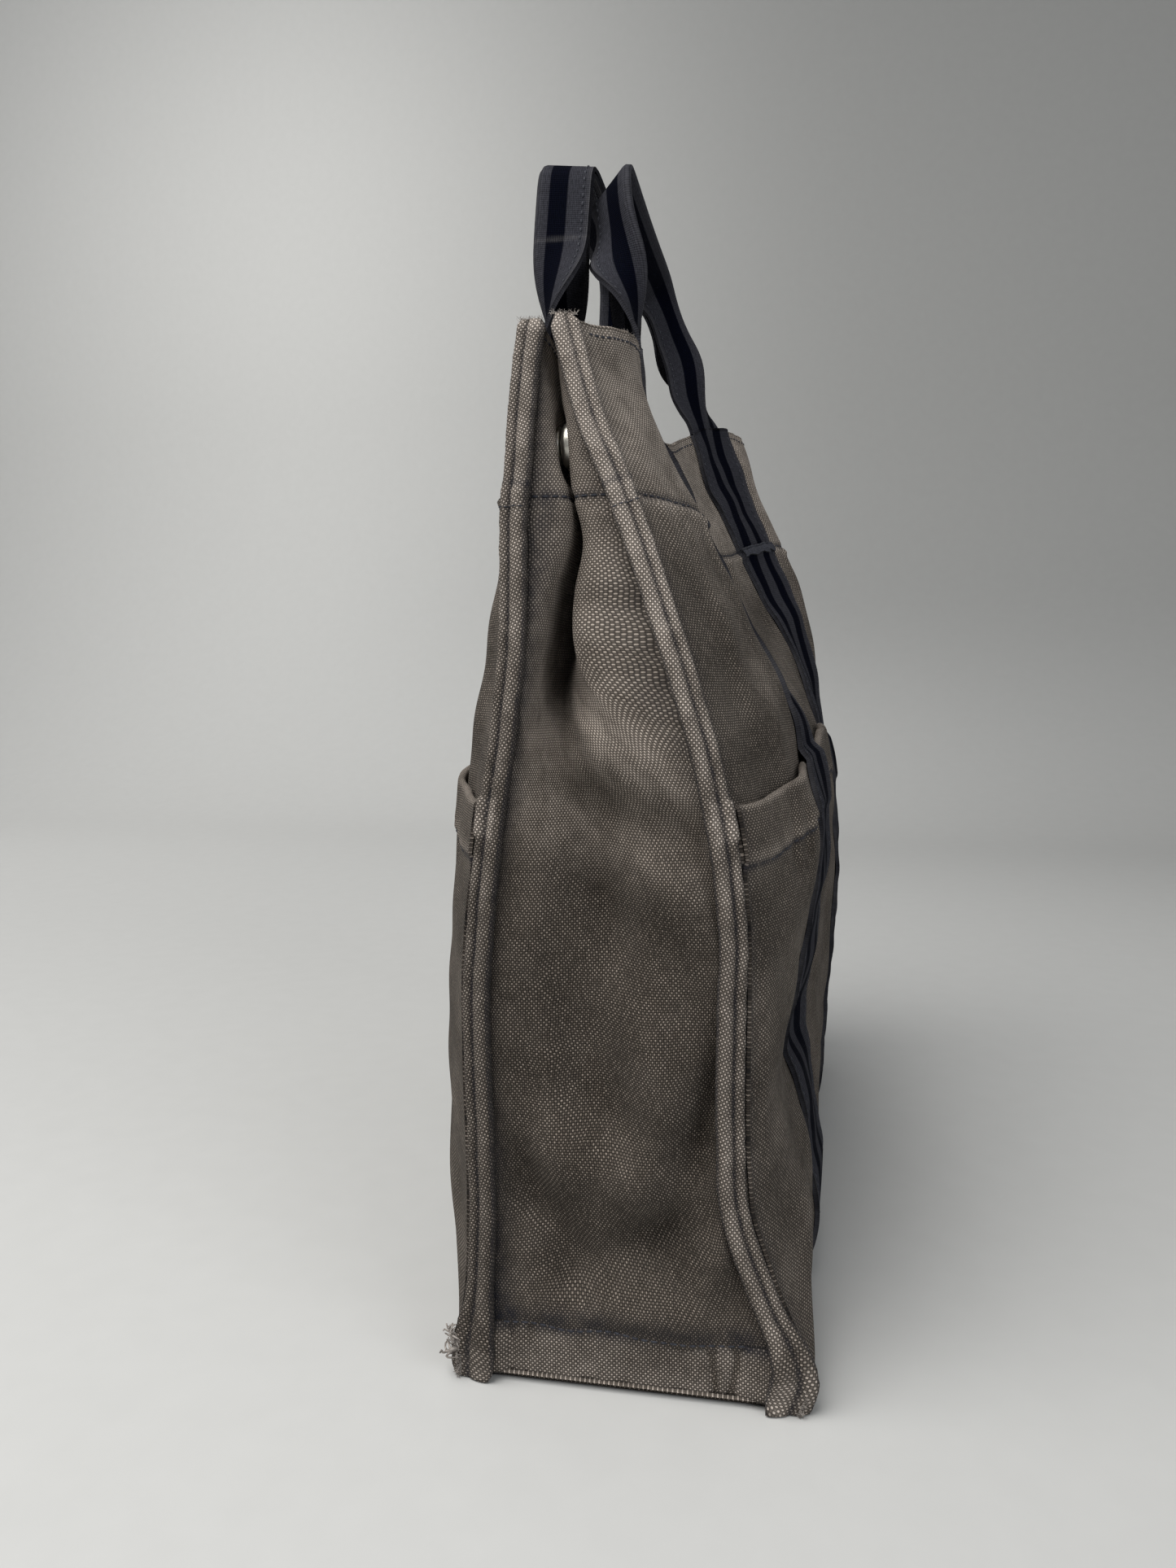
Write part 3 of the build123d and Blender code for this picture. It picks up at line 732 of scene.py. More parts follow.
for side in OUT:
    for end_name in END:
        z = np.linspace(0.6, HEIGHT + (1.5 if side == "front" else 0.0), 330)
        centre, sideways, out = rib_frame(side, end_name, z)
        jitter = 1 + 0.02 * wander(z, 7, 43) + 0.015 * wander(z, 3.1, 44)
        caught = 1 + 0.24 * np.exp(-((z - BAND) / 3.2) ** 2) - 0.10 * np.exp(-((z - BAND - 4.4) / 1.6) ** 2)
        pocket_end = patch(z, POCKET - 11, POCKET + 1)
        foot = 1 - 0.5 * step(14, 1, z)
        rings = []
        for k in range(len(z)):
            across, high = rib_profile(caught[k] * (1 + 0.22 * pocket_end[k]), caught[k] * 1.0)
            across = across * 0.94
            wide = across.copy()
            wide[across < 0] *= 1 + 0.2 * pocket_end[k]
            wide *= (1 + 0.75 * step(34, 7, z[k]) - 0.35 * step(4, 0.6, z[k])) * jitter[k]
            raised = (high * jitter[k] * foot[k])[:, None]
            rings.append(centre[k] - sideways[k] * wide[:, None] + out[k] * raised)
        rings = np.array(rings)
        shrink = 1 - 0.35 * step(HEIGHT - 2.0, HEIGHT + 1.4, z)[:, None, None]
        rings = centre[:, None] + (rings - centre[:, None]) * shrink
        along = z[:, None] + 0 * rings[..., 0]
        outline = np.stack(rib_profile(1, 1), 1)
        arc = np.concatenate([[0], np.cumsum(np.linalg.norm(np.diff(outline, axis=0), axis=1))])
        girth = arc[None, :] + 0 * along
        crest = np.concatenate([rib_profile(1, 1)[1][:27] / 2.75, np.zeros(9)])[None, :]
        # The front rib and the upper half of each rib are paler: partly wear on the crests, partly painted
        # light, which falls from above and more on the front rib.
        on_crest = 0.62 if side == "front" else 0.22 + 0.12 * step(80, 150, along)
        near_top = 0.85 if side == "front" else 0.34
        wear_and_light = on_crest * crest**2 * (0.75 + 0.35 * wander(along + girth, 17, 45))
        wear_and_light += 0.85 * step(HEIGHT - 5, HEIGHT, along)
        wear_and_light += near_top * step(HEIGHT * 0.5, HEIGHT * 0.92, along)
        wear_and_light += 0.5 * pocket_end[:, None] * (girth < 9) + 0.25 * step(14, 4, along)
        # Dark marks: the stitched valley between the cords, partly the thread's dye and partly painted shade;
        # painted shade on the skirts where the rib meets the cloth; and a dark line just above the band seam,
        # where the rib is pinched.
        valley = np.exp(-((rib_profile(1, 1)[0][None, :] + 0.85) / 0.5) ** 2) * (np.arange(36) < 27)
        skirts = (np.abs(rib_profile(1, 1)[0])[None, :] > 4.4)
        dye_and_shade = 0.9 * valley + 0.5 * skirts + 0.6 * np.exp(-((along - BAND - 4) / 1.2) ** 2)
        c, s = RIB_BIAS
        turned = np.stack([girth * c + along * s, along * c - girth * s, 0 * along], -1) * MM
        marks = {"cloth": np.concatenate([turned.reshape(-1, 3), turned[[0, -1], 0]]),
                 "wear_and_light": np.concatenate([np.clip(wear_and_light, 0, 1).ravel(), [1, 1]]),
                 "dye_and_shade": np.concatenate([np.clip(dye_and_shade, 0, 1).ravel(), [0, 0]])}
        rib = tube_rings(centre, 36, rings, f"{side}_{end_name}_rib", marks)
        settle(rib, side + "_wall", "canvas_seam", f"{side}_{end_name}_welt")
print("ribs:", sum("_rib" in n for n in pieces))

# %% [markdown]
# ## The foot of the bag
# The bottom is a flat cloth with its edges turned up into the seams, and a 20 mm band closes
# the foot of each end. The band stands a little proud and is creased where it was bent.

# %% Bottom and foot bands
FOOT_CREASES = [(37, 8, 30, 1.8, 90, 1.5), (-30, 8, 30, 1.8, 84, 1.4),
                (-36, 8, 30, 1.6, 100, 1.2), (12, 8, 30, 2.4, 92, 0.5)]
floor_high = Vector(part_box("bottom_panel")[1]) / MM
x = np.linspace(-1, 1, 121)[None, :] * (floor_high.x + 1.5)
y = np.linspace(-1, 1, 49)[:, None] * (floor_high.y + 0.4)
turn_up = np.maximum(step(floor_high.x - 9, floor_high.x + 2, np.abs(x)),
                     step(floor_high.y - 7, floor_high.y + 1, np.abs(y)))
sag = 0.5 * (1 + wander(x + y, 60, 51)) * (1 - turn_up) * step(0, 30, 52 - np.abs(y))
grid = np.stack([x + 0 * y, y + 0 * x, 0.3 + 2.4 * turn_up + 0.7 * sag], -1)
marks = flat_marks(grid[..., 0], grid[..., 1], 0.25 + 0.7 * turn_up,
                   0.25 * rubbed(grid[..., 0], grid[..., 1], 52))
bottom = shell("bottom_cloth", grid, CANVAS, marks, -1.0)
settle(bottom, "base", "canvas", "bottom_panel")

for end_name in END:
    z = np.linspace(0.35, 20.5, 30)[:, None]
    a = np.linspace(-1, 1, 161)[None, :]
    low_y, high_y = seam["front"](z)[..., 1] + 3.0, seam["back"](z)[..., 1] - 3.0
    y = (low_y + high_y) / 2 + a * (high_y - low_y) / 2
    z = z + 0 * a
    rounded = 1.1 * np.clip(1 - ((z - 9) / 11.9) ** 4, 0, 1) ** 0.6
    puff = rounded + 0.3 * wander(y, 15, 53) * step(22, 4, z) - 0.5
    puff = puff - folds(y, z, FOOT_CREASES)
    by_rib = (high_y - low_y) / 2 * (1 - np.abs(a))
    puff = puff + 2.3 * np.exp(-((by_rib / 8.0) ** 2)) * step(25, 12, z)
    puff = puff - 0.7 * np.exp(-(((by_rib - 15) / 1.6) ** 2))
    under = 3.2 * (1 - step(0.2, 4.0, z))
    x = seam["front"](z)[..., 0] - 2.2 + puff - under
    grid = np.stack([END[end_name] * x, y, z + 0.25 * wander(y, 19, 54) * step(14, 20, z)], -1)
    # Darker along the very bottom edge and along the band's top seam, and a little paler just above the
    # bottom.
    wear_and_light = 0.22 + 0.12 * step(12, 5, z) * step(3.0, 5.0, z) + 0.2 * rubbed(y, z, 55) - 0.2 * step(3.5, 1.5, z)
    dye_and_shade = 0.95 * np.exp(-((z - 20.0) / 2.2) ** 2) * (0.75 + 0.35 * wander(y, 17, 56))
    dye_and_shade += 0.85 * step(3.2, 1.2, z)
    marks = flat_marks(y, z + 0.4, wear_and_light, dye_and_shade)
    band = shell(end_name + "_foot_band", grid, 0.9, marks, END[end_name])
    settle(band, "base", "canvas_seam", end_name + "_band")
print("foot: bottom and", len(END), "bands")

# %% [markdown]
# ## Pockets
# A second layer of canvas runs round each wall and is sewn down at the straps, so it makes
# three pockets. Its mouth is a turned hem: the cloth rolls over a soft edge and goes down
# inside again. The grid follows that roll, so the edge is round and the pocket is truly open.

# %% Pockets
POCKET_FOOT = 10.0
HEM = 19.0


def pocket_mouth(x):
    """Height of a pocket's mouth along its wall."""
    rise = 10.5 * step(165, 70, np.abs(x)) + 8.0 * step(62, 20, np.abs(x))
    return POCKET + rise + 0.8 * wander(x, 60, 61)


def pocket_gape(side, x, z):
    """How far a pocket stands off its wall: most at the middle of its mouth."""
    place = np.abs(x)
    inner, outer = STRAP_AT - 20, STRAP_AT + 20
    rise = np.clip((z - POCKET_FOOT) / (pocket_mouth(x) - POCKET_FOOT), 0, 1)
    middle = np.cos(math.pi / 2 * np.clip(place / inner, 0, 1))
    side_part = np.sin(math.pi * np.clip((place - outer) / (cloth_edge(z) - 2 - outer), 0, 1))
    share = np.where(place < inner, middle, np.where(place > outer, side_part, 0.0))
    return np.where(place < inner, 2.0, 2.6 if side == "front" else 1.0) * share * rise**3


def pocket_lift(side, x, z):
    """Outer face of the pocket above the wall's outer face."""
    mouth = pocket_mouth(x)
    thick = 1.5 + 1.3 * step(mouth - HEM - 2.5, mouth - HEM + 1.5, z)
    groove = 0.55 * np.exp(-((z - mouth + HEM) / 0.9) ** 2)
    off_strap = step(0, 8, np.abs(np.abs(x) - STRAP_AT) - 18)
    pucker = 0.55 * wander(x, 7.5, 62) * np.exp(-((z - mouth + HEM) / 9.0) ** 2) * off_strap
    return thick + pocket_gape(side, x, z) - groove + pucker


for side in OUT:
    share = np.concatenate([np.linspace(0, 0.84, 70)[:-1], np.linspace(0.84, 1, 34)])[:, None]
    u = np.linspace(-1, 1, 301)[None, :]
    mid_z = POCKET_FOOT + share * (POCKET - POCKET_FOOT)
    x = u * (cloth_edge(mid_z) + 1.2)
    z = POCKET_FOOT + share * (pocket_mouth(x) - 1.4 - POCKET_FOOT)
    rows = [(x, z, pocket_lift(side, x, z))]
    x_top, z_top, lift_top = x[-1], z[-1], rows[0][2][-1]
    for angle in (30, 60, 90, 120, 150, 180):
        c, s = math.cos(math.radians(angle)), math.sin(math.radians(angle))
        rows.append([g[None, :] for g in (x_top, z_top + 1.4 * s, lift_top - 1.4 * (1 - c))])
    for drop in (3, 6, 9, 12, 15, 18):
        behind = np.maximum(pocket_lift(side, x_top, z_top - drop) - 2.8, 0.05)
        rows.append([g[None, :] for g in (x_top, z_top - drop, behind)])
    x, z, lift = (np.concatenate([r[i] for r in rows]) for i in range(3))
    run_z = z.copy()
    run_z[-12:] = z_top + np.linspace(1, 22, 12)[:, None]
    mouth = pocket_mouth(x)
    wear_and_light = 0.75 * np.exp(-((z - mouth) / 1.6) ** 2) + 0.22 * rubbed(x, z, 63)
    wear_and_light += 0.25 * np.exp(-((z - mouth + HEM - 2) / 2) ** 2)
    # Dark marks: along the hem's stitched groove, partly the thread's dye and partly painted shade; and
    # painted shade along the edges beside the ribs.
    dye_and_shade = 0.9 * np.exp(-((z - mouth + HEM) / 1.1) ** 2)
    dye_and_shade += 0.25 * np.exp(-((cloth_edge(z) - np.abs(x)) / 4.0) ** 2)
    marks = flat_marks(x + 40, run_z, wear_and_light, dye_and_shade)
    pocket = shell(side + "_pocket_cloth", on_wall(side, x, z, lift), CANVAS, marks, -OUT[side])
    settle(pocket, side + "_wall", "canvas", side + "_pocket")
print("pockets: mouth at", pocket_mouth(np.array([-160.0, -72.0, 0.0])).round(1))

# %% [markdown]
# ## Straps and bar tacks
# Each strap is 40 mm webbing, grey with two navy stripes, sewn flat over wall and pocket. It
# is a ribbon that steps down off the thick pocket hem, with a slight edge turn from its
# stitching. The bar tack is a dense block of thread across it at the lower edge of the band.

# %% Straps and bar tacks
WEBBING = 1.8
STRAP_HALF = 20.0
STITCH_EDGE = 17.4
STRAP_FOOT = 3.0


def under_strap(x, z):
    """Thickness of what lies on the wall under a strap."""
    mouth = pocket_mouth(x)
    covered = step(mouth + 5, mouth - 0.5, z)
    return covered * np.where(z < mouth, 1.5 + 1.3 * step(mouth - HEM - 2.5, mouth - HEM + 1.5, z), 2.8)


def strap_lift(x, z, centre):
    """Outer face of a strap above the wall's outer face, drawn in along its stitches."""
    offset = np.abs(x - centre)
    edge = 0.35 * np.exp(-((offset - STITCH_EDGE) / 1.0) ** 2)
    return under_strap(np.full_like(x, centre), z) + 0.3 + WEBBING - edge + 0.2 * wander(z, 16, 71)


def across_marks(x, z, centre):
    """Where points lie on flat webbing, and how rubbed its edges are."""
    q = (x - centre) + 0 * z
    return {"cloth": np.stack([q, z + 0 * x, 0 * q], -1) * MM, "across": q * MM,
            "wear_and_light": np.clip(step(17.5, STRAP_HALF, np.abs(q)) * 0.5, 0, 1)}


for side in OUT:
    for end_name, sign in END.items():
        centre = sign * STRAP_AT
        z = np.linspace(STRAP_FOOT, HEIGHT + 0.6, 240)[:, None]
        x = centre + np.linspace(-STRAP_HALF, STRAP_HALF, 41)[None, :] + 0.35 * wander(z, 70, 72)
        z = z + 0 * x
        strap = shell(f"{side}_{end_name}_strap_webbing", on_wall(side, x, z, strap_lift(x, z, centre)),
                      WEBBING, across_marks(x, z, centre), -OUT[side])
        settle(strap, side + "_wall", "striped_webbing", f"{side}_{end_name}_strap")
        z = np.linspace(BAND - 2.2, BAND + 1.6, 12)[:, None]
        x = centre + np.linspace(-19.5, 19.5, 118)[None, :]
        z = z + 0 * x
        cords = 0.22 * np.abs(np.sin((x - centre) * 2 * math.pi / 1.4)) + 0.25
        crown = 0.7 * np.sqrt(np.clip(1 - ((z - BAND + 0.3) / 2.1) ** 2, 0, 1))
        lift = strap_lift(x, z, centre) + cords + crown - 0.1
        tack = shell(f"{side}_{end_name}_bar_tack", on_wall(side, x, z + 0.3 * wander(x, 9, 73), lift), 1.0,
                     across_marks(x, z, centre), -OUT[side])
        settle(tack, side + "_wall", "navy_thread", f"{side}_{end_name}_tack")
print("straps:", sum("strap_webbing" in n for n in pieces))

# %% [markdown]
# ## Handles
# Above the mouth each strap goes on as a handle. The webbing is folded lengthwise to half its
# width, with the fold outside and the two stitched edges towards the hand; near the mouth it
# opens flat again. A ribbon bent about its middle line, by an angle that changes along the
# handle, gives the fold, the opening and the twist between them in one piece.

# %% Handles
LIE = {"front": -45.0, "back": -6.0}     # how far the folded webbing lies over, degrees
ARCH = {"front": (425.0, 23.2), "back": (433.0, 40.2)}     # height and y of the top
SHOULDER = 10.0
LEG_LEAN = 6.0
FOLD_GAP = 1.05     # half of the room between the two folded faces
TURN_FROM, TURN_TO = 352.0, 368.0     # where a handle passes from its wall to its own swing


def handle_route(side):
    """Middle of the folded webbing from the left foot over the arch to the right foot."""
    (top_z, top_y), lean = ARCH[side], LEG_LEAN
    legs = []
    for sign in (-1, 1):
        x = sign * STRAP_AT
        place, level = np.full(4, x), HEIGHT - np.array([12.0, 8.0, 4.0, 0.5])
        sunk = strap_lift(place, level, x) - WEBBING * 0.55 + np.array([-0.9, -0.45, -0.05, 0.05])
        on_cloth = on_wall(side, place, level, sunk)
        foot_y, foot_z = on_cloth[-1, 1:]
        rise = np.linspace(6, top_z - SHOULDER - foot_z, 16)
        share = rise / (top_z - foot_z)
        bow = 2.0 * np.sin(math.pi * share) * sign
        leg_y = foot_y * (1 - share) + top_y * share + 0 * rise
        leg = np.stack([x - sign * lean * share + bow, leg_y, foot_z + rise], -1)
        legs.append(np.concatenate([on_cloth, leg]))
    left, right = legs
    arch = []
    for sign, leg in ((-1, left), (1, right)):
        end, corner = leg[-1], np.array([sign * (STRAP_AT - lean), top_y, top_z])
        stop = np.array([sign * (STRAP_AT - lean - SHOULDER), top_y, top_z])
        t = np.linspace(0.1, 1, 10)[:, None]
        arch.append(end * (1 - t) ** 2 + 2 * corner * t * (1 - t) + stop * t**2)
    middle = np.linspace(arch[0][-1], arch[1][-1], 12)[1:-1]
    middle[:, 2] -= 0.8 * np.sin(np.linspace(0, math.pi, 10))
    route = np.concatenate([left, arch[0], middle, arch[1][::-1], right[::-1]])
    run = np.concatenate([[0], np.cumsum(np.linalg.norm(np.diff(route, axis=0), axis=1))])
    smooth = through(run, route, np.linspace(0, run[-1], 260))
    for _ in range(5):
        smooth[1:-1] = (smooth[:-2] + 2 * smooth[1:-1] + smooth[2:]) / 4
    return smooth, run[-1]


def handle_grid(side):
    """Middle surface of the folded webbing, its across and along runs, and its inward direction."""
    route, length = handle_route(side)
    inward = np.tile([0.0, -OUT[side], 0.0], (len(route), 1))
    for sign in (-1, 1):
        edge = on_wall(side, sign * STRAP_AT + np.array([-12.0, 12.0]), np.full(2, HEIGHT - 2.0))
        slope = (edge[1] - edge[0]) * [1, 1, 0]
        facing_in = np.cross([0, 0, 1.0], slope) * -OUT[side]
        facing_in *= np.sign(facing_in[1] * -OUT[side]) / np.linalg.norm(facing_in)
        near_foot = step(412, 358, route[:, 2]) * (np.sign(route[:, 0]) == sign)
        inward = inward * (1 - near_foot)[:, None] + facing_in * near_foot[:, None]
    tangent = np.gradient(route, axis=0)
    tangent /= np.linalg.norm(tangent, axis=1, keepdims=True)
    wide = inward - tangent * np.sum(tangent * inward, 1, keepdims=True)
    wide /= np.linalg.norm(wide, axis=1, keepdims=True)
    lift = route[:, 2]
    tilt = math.radians(LIE[side]) * step(372, 412, lift) * (1 if side == "front" else -1)
    side_way = np.cross(tangent, wide)
    wide, side_way = (wide * np.cos(tilt)[:, None] + side_way * np.sin(tilt)[:, None],
                      side_way * np.cos(tilt)[:, None] - wide * np.sin(tilt)[:, None])
    opening = math.radians(90) * step(407, 353, lift)
    q = np.linspace(-STRAP_HALF, STRAP_HALF, 61)
    rows = []
    for k in range(len(route)):
        fold_back = 10.0 * math.cos(opening[k])
        reach = np.abs(q)
        turn = opening[k]
        bend = np.clip(reach / 1.6, 0, 1)
        along_wide = reach * math.cos(turn) - (1 - bend) ** 2 * 0.2 * math.cos(turn)
        round_fold = FOLD_GAP * np.sqrt(np.clip(1 - (1 - bend) ** 2, 0, 1)) * math.cos(turn)
        apart = np.sign(q) * (reach * math.sin(turn) + round_fold)
        rows.append(route[k] + wide[k] * (along_wide - fold_back)[:, None] + side_way[k] * apart[:, None])
    grid = np.array(rows)
    return grid, q, np.linspace(0, length, len(route)), wide


def handle_blend(side):
    pivot_y = joints[side + "_handle_swing"]["pos_m"][1] / MM
    return (0, pivot_y, TURN_FROM), (0, pivot_y, TURN_TO)


handle_grids = {}
for side in OUT:
    grid, q, along, wide = handle_grid(side)
    outward = grid_normals(grid)
    facing = 1.0 if (outward[130, 30] @ -wide[130]) > 0 else -1.0
    shift = grid + outward * facing * WEBBING * 0.55
    q_grid, s_grid = np.broadcast_arrays(q[None, :], along[:, None])
    crease = np.exp(-((grid[..., 2] - 402) / 0.8) ** 2) * (side == "back") * (grid[..., 0] < 0)
    wear_and_light = 0.5 * step(17.5, STRAP_HALF, np.abs(q_grid)) + 0.25 * np.exp(-(q_grid / 1.2) ** 2) + 0.8 * crease
    marks = {"cloth": np.stack([q_grid, s_grid, 0 * q_grid], -1) * MM, "across": q_grid * MM, "wear_and_light": wear_and_light}
    handle = shell(side + "_handle_webbing", shift, WEBBING * 0.92, marks, facing)
    settle(handle, (side + "_wall", side + "_handle"), "striped_webbing", side + "_handle",
           blend=handle_blend(side))
    handle_grids[side] = (shift, outward * facing)
    print(side, "handle: webbing", round(float(along[-1])), "mm, top", round(float(shift[..., 2].max())), "mm")

# %% [markdown]
# ## Stitches
# Every seam is sewn with thick navy thread. One stitch is a small flattened capsule that sinks
# at both ends. A seam is a line of points on the cloth, and the stitches of all the seams on
# one body are joined into one mesh, because thousands of objects would be slow.

# %% Stitch maker
def stitch_block(centres, directions, normals, length, wide, high):
    """Capsules lying on cloth: points and faces of all of them."""
    stations = np.array([-0.5, -0.36, -0.12, 0.12, 0.36, 0.5])
    width = np.array([0.25, 0.8, 1.0, 1.0, 0.8, 0.25])
    dip = np.array([-0.75, -0.1, 0.12, 0.12, -0.1, -0.75])
    angles = np.linspace(0, 2 * math.pi, 6, endpoint=False)
    directions = directions / np.linalg.norm(directions, axis=1, keepdims=True)
    normals = normals - directions * np.sum(normals * directions, 1, keepdims=True)
    normals = normals / np.linalg.norm(normals, axis=1, keepdims=True)
    side_way = np.cross(directions, normals)
    blocks = []
    for s, w, d in zip(stations, width, dip):
        for angle in angles:
            forward = directions * (s * length)[:, None]
            sideways = side_way * (w * wide / 2 * math.cos(angle))
            blocks.append(centres + forward + sideways + normals * (w * high / 2 * math.sin(angle) + d * high))
    points = np.stack(blocks, 1)
    caps = [[0, 5, 4, 3], [0, 3, 2, 1], [30, 31, 32, 33], [30, 33, 34, 35]]
    body = np.concatenate([quads(6, 6, wrap=True), caps])
    faces = (body[None] + (np.arange(len(centres)) * 36)[:, None, None]).reshape(-1, 4)
    return points.reshape(-1, 3), faces


def sew(line, pitch=3.2, share=0.74, wide=0.75, high=0.5, above=0.12):
    """Stitches along points with normals: (points, normals) in order along a seam."""
    points, normals = line
    run = np.concatenate([[0], np.cumsum(np.linalg.norm(np.diff(points, axis=0), axis=1))])
    count = max(int(run[-1] / pitch), 2)
    at = (np.arange(count) + 0.5) * run[-1] / count
    middle = np.stack([np.interp(at, run, points[:, i]) for i in range(3)], 1)
    ahead = np.stack([np.interp(at + 0.6, run, points[:, i]) for i in range(3)], 1)
    behind = np.stack([np.interp(at - 0.6, run, points[:, i]) for i in range(3)], 1)
    up = np.stack([np.interp(at, run, normals[:, i]) for i in range(3)], 1)
    length = np.full(count, run[-1] / count * share) * (1 + 0.08 * wander(at, 5, 81))
    return stitch_block(middle + up * above, ahead - behind, up, length, wide, high)


def join_blocks(name, blocks):
    """One mesh from many blocks of points and faces."""
    points, faces, first = [], [], 0
    for p, f in blocks:
        points.append(p)
        faces.append(f + first)
        first += len(p)
    return make(name, np.concatenate(points), np.concatenate(faces), {})


def wall_line(side, x, z, lift):
    """A seam line on a wall with its normals."""
    near, far = on_wall(side, x, z, lift), on_wall(side, x, z, np.asarray(lift) + 1.0)
    return near, far - near


# %% Sew the walls, ends and handles
for side in OUT:
    blocks = []
    x = np.linspace(-154, 154, 500)
    clear = STRAP_HALF + 0.5
    for part in (x[x < -STRAP_AT - clear], x[np.abs(x) < STRAP_AT - clear], x[x > STRAP_AT + clear]):
        blocks.append(sew(wall_line(side, part, BAND + 0.6 + 0.3 * wander(part, 30, 82), 0.0)))
        blocks.append(sew(wall_line(side, part, np.full_like(part, MOUTH_SEAM), 0.0)))
        inset = part * 0.985
        line_z = pocket_mouth(inset) - HEM
        blocks.append(sew(wall_line(side, inset, line_z, pocket_lift(side, inset, line_z))))
    for sign in (-1, 1):
        z = np.linspace(STRAP_FOOT + 3, HEIGHT - 3, 420)
        for edge in (-STITCH_EDGE, STITCH_EDGE):
            x = np.full_like(z, sign * STRAP_AT + edge)
            lift = strap_lift(x, z, sign * STRAP_AT)
            blocks.append(sew(wall_line(side, x, z, lift), pitch=3.6, share=0.6, wide=0.95, high=0.55))
    for end_name in END:
        z = np.linspace(9, HEIGHT - 2, 420)
        centre, sideways, out = rib_frame(side, end_name, z)
        foot = 1 - 0.28 * step(16, 2, z)
        valley = centre + sideways * 0.85 + out * (0.7 * foot)[:, None]
        blocks.append(sew((valley, out), pitch=2.6, wide=0.55, high=0.5))
        ring_a = np.linspace(-4.6, 4.6, 40)
        at = np.full(40, BAND - 4.0)
        centre, sideways, out = rib_frame(side, end_name, at)
        high = 1.2 * np.maximum(2.3 * np.sqrt(np.clip(1 - ((ring_a + 2.95) / 2.05) ** 2, 0, 1)),
                                2.8 * np.sqrt(np.clip(1 - ((ring_a - 2.0) / 3.05) ** 2, 0, 1)))
        over_rib = centre - sideways * ring_a[:, None] + out * high[:, None]
        blocks.append(sew((over_rib, out), pitch=2.4, wide=0.5, high=0.4))
    stitches = join_blocks(side + "_wall_stitches", blocks)
    settle(stitches, side + "_wall", "navy_thread")
    grid, normals = handle_grids[side]
    blocks = []
    for column in (4, 56):
        rows = slice(26, -26)
        blocks.append(sew((grid[rows, column], normals[rows, column]), pitch=3.4, share=0.6, wide=0.9))
    stitches = join_blocks(side + "_handle_stitches", blocks)
    settle(stitches, (side + "_wall", side + "_handle"), "navy_thread", blend=handle_blend(side))

for end_name in END:
    grid, normal, a, z = end_grid(1.2, HEIGHT, 221, end_name)
    for side in OUT:
        half = slice(4, 80) if side == "front" else slice(81, 157)
        blocks = []
        for level in (BAND, MOUTH_SEAM):
            row = int(np.argmin(np.abs(z[:, 0] - level)))
            blocks.append(sew((grid[row, half], normal[row, half])))
        stitches = join_blocks(f"{end_name}_end_{side}_stitches", blocks)
        settle(stitches, ("base", side + "_wall"), "navy_thread", blend=crease_blend(side, end_name))
    y = np.linspace(-40, 40, 200)
    row = 14
    line = np.stack([np.interp(y, grid[row, :, 1], grid[row, :, i]) for i in range(3)], 1)
    line[:, 2] = 20.6 + 0.5 * wander(y, 26, 83)
    line[:, 0] += END[end_name] * 0.9
    out = np.tile([END[end_name], 0.0, 0.25], (200, 1))
    stitches = join_blocks(end_name + "_foot_stitches", [sew((line, out), pitch=3.0)])
    settle(stitches, "base", "navy_thread")
print("stitched pieces:", sum("stitches" in n for n in pieces))

# %% [markdown]
# ## Fray and loose threads
# Cut and rubbed edges shed short fibres, the bottom corners are worn into a fringe, and one
# tuft hangs at the back corner. Each fibre is a thin three-sided tube along a bent line. Real
# geometry is used, because the fringe shows against the pale floor.

# %% Fibres
def fibre_block(roots, ways, lengths, thick, seed, curl=0.5, parts=5):
    """Bent thin tubes from roots along ways."""
    draw = np.random.default_rng(seed)
    ways = ways / np.linalg.norm(ways, axis=1, keepdims=True)
    lines = [roots]
    heading = ways.copy()
    for _ in range(parts):
        heading = heading + draw.normal(0, curl, heading.shape)
        heading /= np.linalg.norm(heading, axis=1, keepdims=True)
        lines.append(lines[-1] + heading * (lengths / parts)[:, None])
    lines = np.stack(lines, 1)
    along = np.gradient(lines, axis=1)
    along /= np.linalg.norm(along, axis=2, keepdims=True)
    side_way = np.cross(along, [0.31, 0.52, 0.79])
    side_way /= np.linalg.norm(side_way, axis=2, keepdims=True)
    other = np.cross(along, side_way)
    taper = np.linspace(1, 0.45, parts + 1)[None, :, None] * thick / 2
    rings = [lines + taper * (side_way * math.cos(t) + other * math.sin(t)) for t in (0, 2.1, 4.2)]
    points = np.stack(rings, 2)
    count = (parts + 1) * 3
    body = [list(f) for f in quads(parts + 1, 3, wrap=True)]
    faces = (np.array(body)[None] + (np.arange(len(roots)) * count)[:, None, None]).reshape(-1, 4)
    return points.reshape(-1, 3), faces


def pick(points, ways, count, seed):
    """Random places along a line of points, with their ways."""
    draw = np.random.default_rng(seed)
    at = draw.uniform(0, len(points) - 1.001, count)
    i = at.astype(int)
    t = (at - i)[:, None]
    return points[i] * (1 - t) + points[i + 1] * t, ways[i] + draw.normal(0, 0.35, (count, 3))


